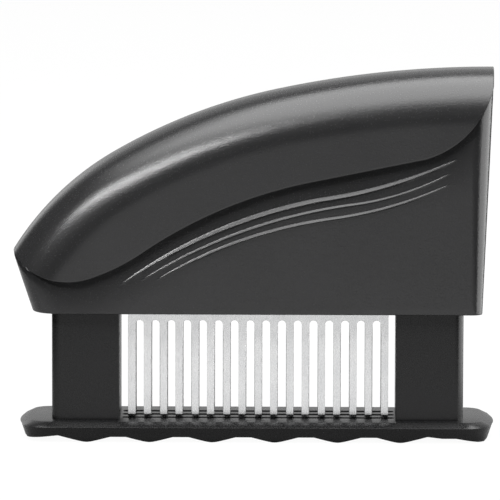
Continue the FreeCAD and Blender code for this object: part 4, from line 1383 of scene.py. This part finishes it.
@dataclass
class Studio:
    """Pale floor, white surroundings, soft lamps and the camera."""

    distance: float = 2.1
    azimuth: float = 0.6
    elevation: float = 7.5
    roll: float = 0.12
    frame_width: float = 0.1585
    farthest: float = 20.0
    aim: Triple = (-0.00142, 0.0, 0.0590)
    lit: Triple = (0, 0, 0.06)
    surround: float = 0.03
    floor_tone: float = 0.25
    floor_rough: float = 0.9
    floor_sides: Pair = (-220.0, 160.0)
    floor_reach: float = 4000.0
    floor_z: float = -0.05
    glow: float = 1.12
    glow_seen: float = 0.85
    # Reflections see the floor glow at glow_mirrored ahead of the tool; the fade stops make that
    # glow die out near the tool, which is painted shade
    glow_mirrored: float = 0.62
    glow_painted_shade_fade: Pair = (-0.024, -0.055)
    lamps: tuple[Lamp, ...] = (
        Lamp("overhead_lamp", (0.05, -0.2, 1.2), (1.8, 1.6), 2.5),
        Lamp("overhead_core", (0.05, -0.05, 1.1), (1.3, 0.9), 3.6),
        Lamp("strip_lamp", (-0.95, -1.15, 1.25), (1.15, 0.13), 50.0),
        Lamp("right_lamp", (1.2, 0.1, 0.2), (1.95, 1.2), 3.6),
        Lamp("rim_lamp", (-0.7, 1.4, 0.5), (0.4, 0.6), 0.8),
        Lamp("rear_wall", (0.0, 2.6, 1.2), (4.4, 2.8), 0.6),
    )

    def floor(self) -> None:
        """Lays the pale floor, bright to the eye; to reflections it glows only ahead of the tool,
        and its glow fades out near the tool as painted shade.
        """
        draft = MeshDraft()
        reach = self.floor_reach
        draft.grid(np.array([[(x, y, self.floor_z) for x in self.floor_sides]
                             for y in (-reach, reach)]))
        floor = draft.make("studio_floor")
        sheet = NodeSheet("studio_floor_white")
        sheet.dress(Base_Color=(*[self.floor_tone] * 3, 1.0), Roughness=self.floor_rough)
        glow = sheet.node("ShaderNodeEmission", {"Color": (1, 1, 1, 1), "Strength": self.glow})
        rays = sheet.node("ShaderNodeLightPath").outputs
        level = sheet.node("ShaderNodeSeparateXYZ", {"Vector": sheet.place}).outputs["Y"]
        # Painted shade: the floor's glow in reflections fades to nothing in front of and under the
        # tool, a painted contact shadow
        ahead = sheet.spread(level, 0.0, self.glow_mirrored, self.glow_painted_shade_fade)
        mirrored = sheet.maths("MULTIPLY", rays["Is Glossy Ray"], ahead)
        eye = sheet.maths("MULTIPLY", rays["Is Camera Ray"], self.glow_seen)
        mix = sheet.node("ShaderNodeMixShader", {
            "Fac": sheet.maths("MAXIMUM", eye, mirrored), 1: sheet.shader.outputs["BSDF"],
            2: glow.outputs[0]})
        sheet.feed(sheet.tree.nodes["Material Output"].inputs["Surface"], mix.outputs[0])
        floor.data.materials.append(sheet.material)

    def surroundings(self) -> None:
        """Makes the world white to the eye and dimmer as a light."""
        world = bpy.data.worlds.new("studio_world")
        world.use_nodes = True
        tree = world.node_tree
        back = tree.nodes["Background"]
        back.inputs["Color"].default_value = (1, 1, 1, 1)
        rays = tree.nodes.new("ShaderNodeLightPath")
        share = tree.nodes.new("ShaderNodeMapRange")
        tree.links.new(rays.outputs["Is Camera Ray"], share.inputs["Value"])
        share.inputs["To Min"].default_value = self.surround
        share.inputs["To Max"].default_value = 1.0
        tree.links.new(share.outputs["Result"], back.inputs["Strength"])
        bpy.context.scene.world = world

    def camera(self) -> None:
        """Sets up the camera, level with the tool and a little above it."""
        data = bpy.data.cameras.new("studio_camera")
        data.lens = data.sensor_width * self.distance / self.frame_width
        data.clip_end = self.farthest
        a, e = math.radians(self.azimuth), math.radians(self.elevation)
        back = Vector((math.sin(a) * math.cos(e), -math.cos(a) * math.cos(e), math.sin(e)))
        turned = Quaternion((0.0, 0.0, 1.0), math.radians(self.roll))
        bpy.context.scene.camera = place_object(
            "studio_camera", data, Vector(self.aim) + back * self.distance,
            back.to_track_quat("Z", "Y") @ turned)

    def build(self) -> None:
        """Sets up floor, surroundings, lamps and camera."""
        self.floor()
        self.surroundings()
        for lamp in self.lamps:
            lamp.hang(Vector(self.lit))
        self.camera()
        bpy.context.scene.view_settings.view_transform = "Standard"


# ---- Assembly ----


def seat(piece: Piece, body: str, finish: Finish, slot: str, *nodes: str) -> None:
    """Puts a made piece in place of CAD nodes.

    Args:
        piece: the object.
        body: CAD body that it moves with.
        finish: its finish.
        slot: not used; it names the record's material slot.
        nodes: CAD nodes that it stands for.
    """
    finish.apply(piece)
    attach(piece, body)
    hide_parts(*nodes)
    LOG.info("%s: %d faces, stands for %s", piece.name, len(piece.data.polygons), ", ".join(nodes))


def dress_nodes(finish: Finish, *names: str) -> None:
    """Gives CAD nodes that stay as they are their finish.

    Args:
        finish: the finish.
        names: the CAD nodes.
    """
    for name in names:
        finish.apply(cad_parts[name])
        LOG.info("%s: kept from the frame", name)


def main() -> None:
    """Builds the tool and the studio, and reports each piece."""
    logging.basicConfig(level=logging.INFO, format="%(name)s %(message)s")
    seat(HandleShell().build(), "handle", Finish.HANDLE, "handle_plastic", "handle_shell")
    for row in ROWS:
        comb = StampedComb(row).build()
        seat(comb, "handle", Finish.BLADE, "blade_steel", f"blade_comb_{row}")
    seat(GuardPlate().build(), "guard", Finish.GUARD, "guard_plastic", "guard_plate")
    for side in SIDES:
        post = Column(side).build()
        seat(post, "guard", Finish.GUARD, "guard_plastic", f"column_{side}")
        spring = ReturnSpring(side)
        coil = spring.build()
        seat(coil, "guard", Finish.SPRING, "spring_steel", f"return_spring_{side}")
        spring.settle(coil)
    dress_nodes(Finish.CARRIER, "blade_carrier", "comb_spacer_front", "comb_spacer_rear")
    dress_nodes(Finish.FASTENER, "clamp_bolts", "clamp_nuts", "carrier_screws", "column_screws")
    Studio().build()
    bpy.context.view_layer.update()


if __name__ == "__main__":
    main()
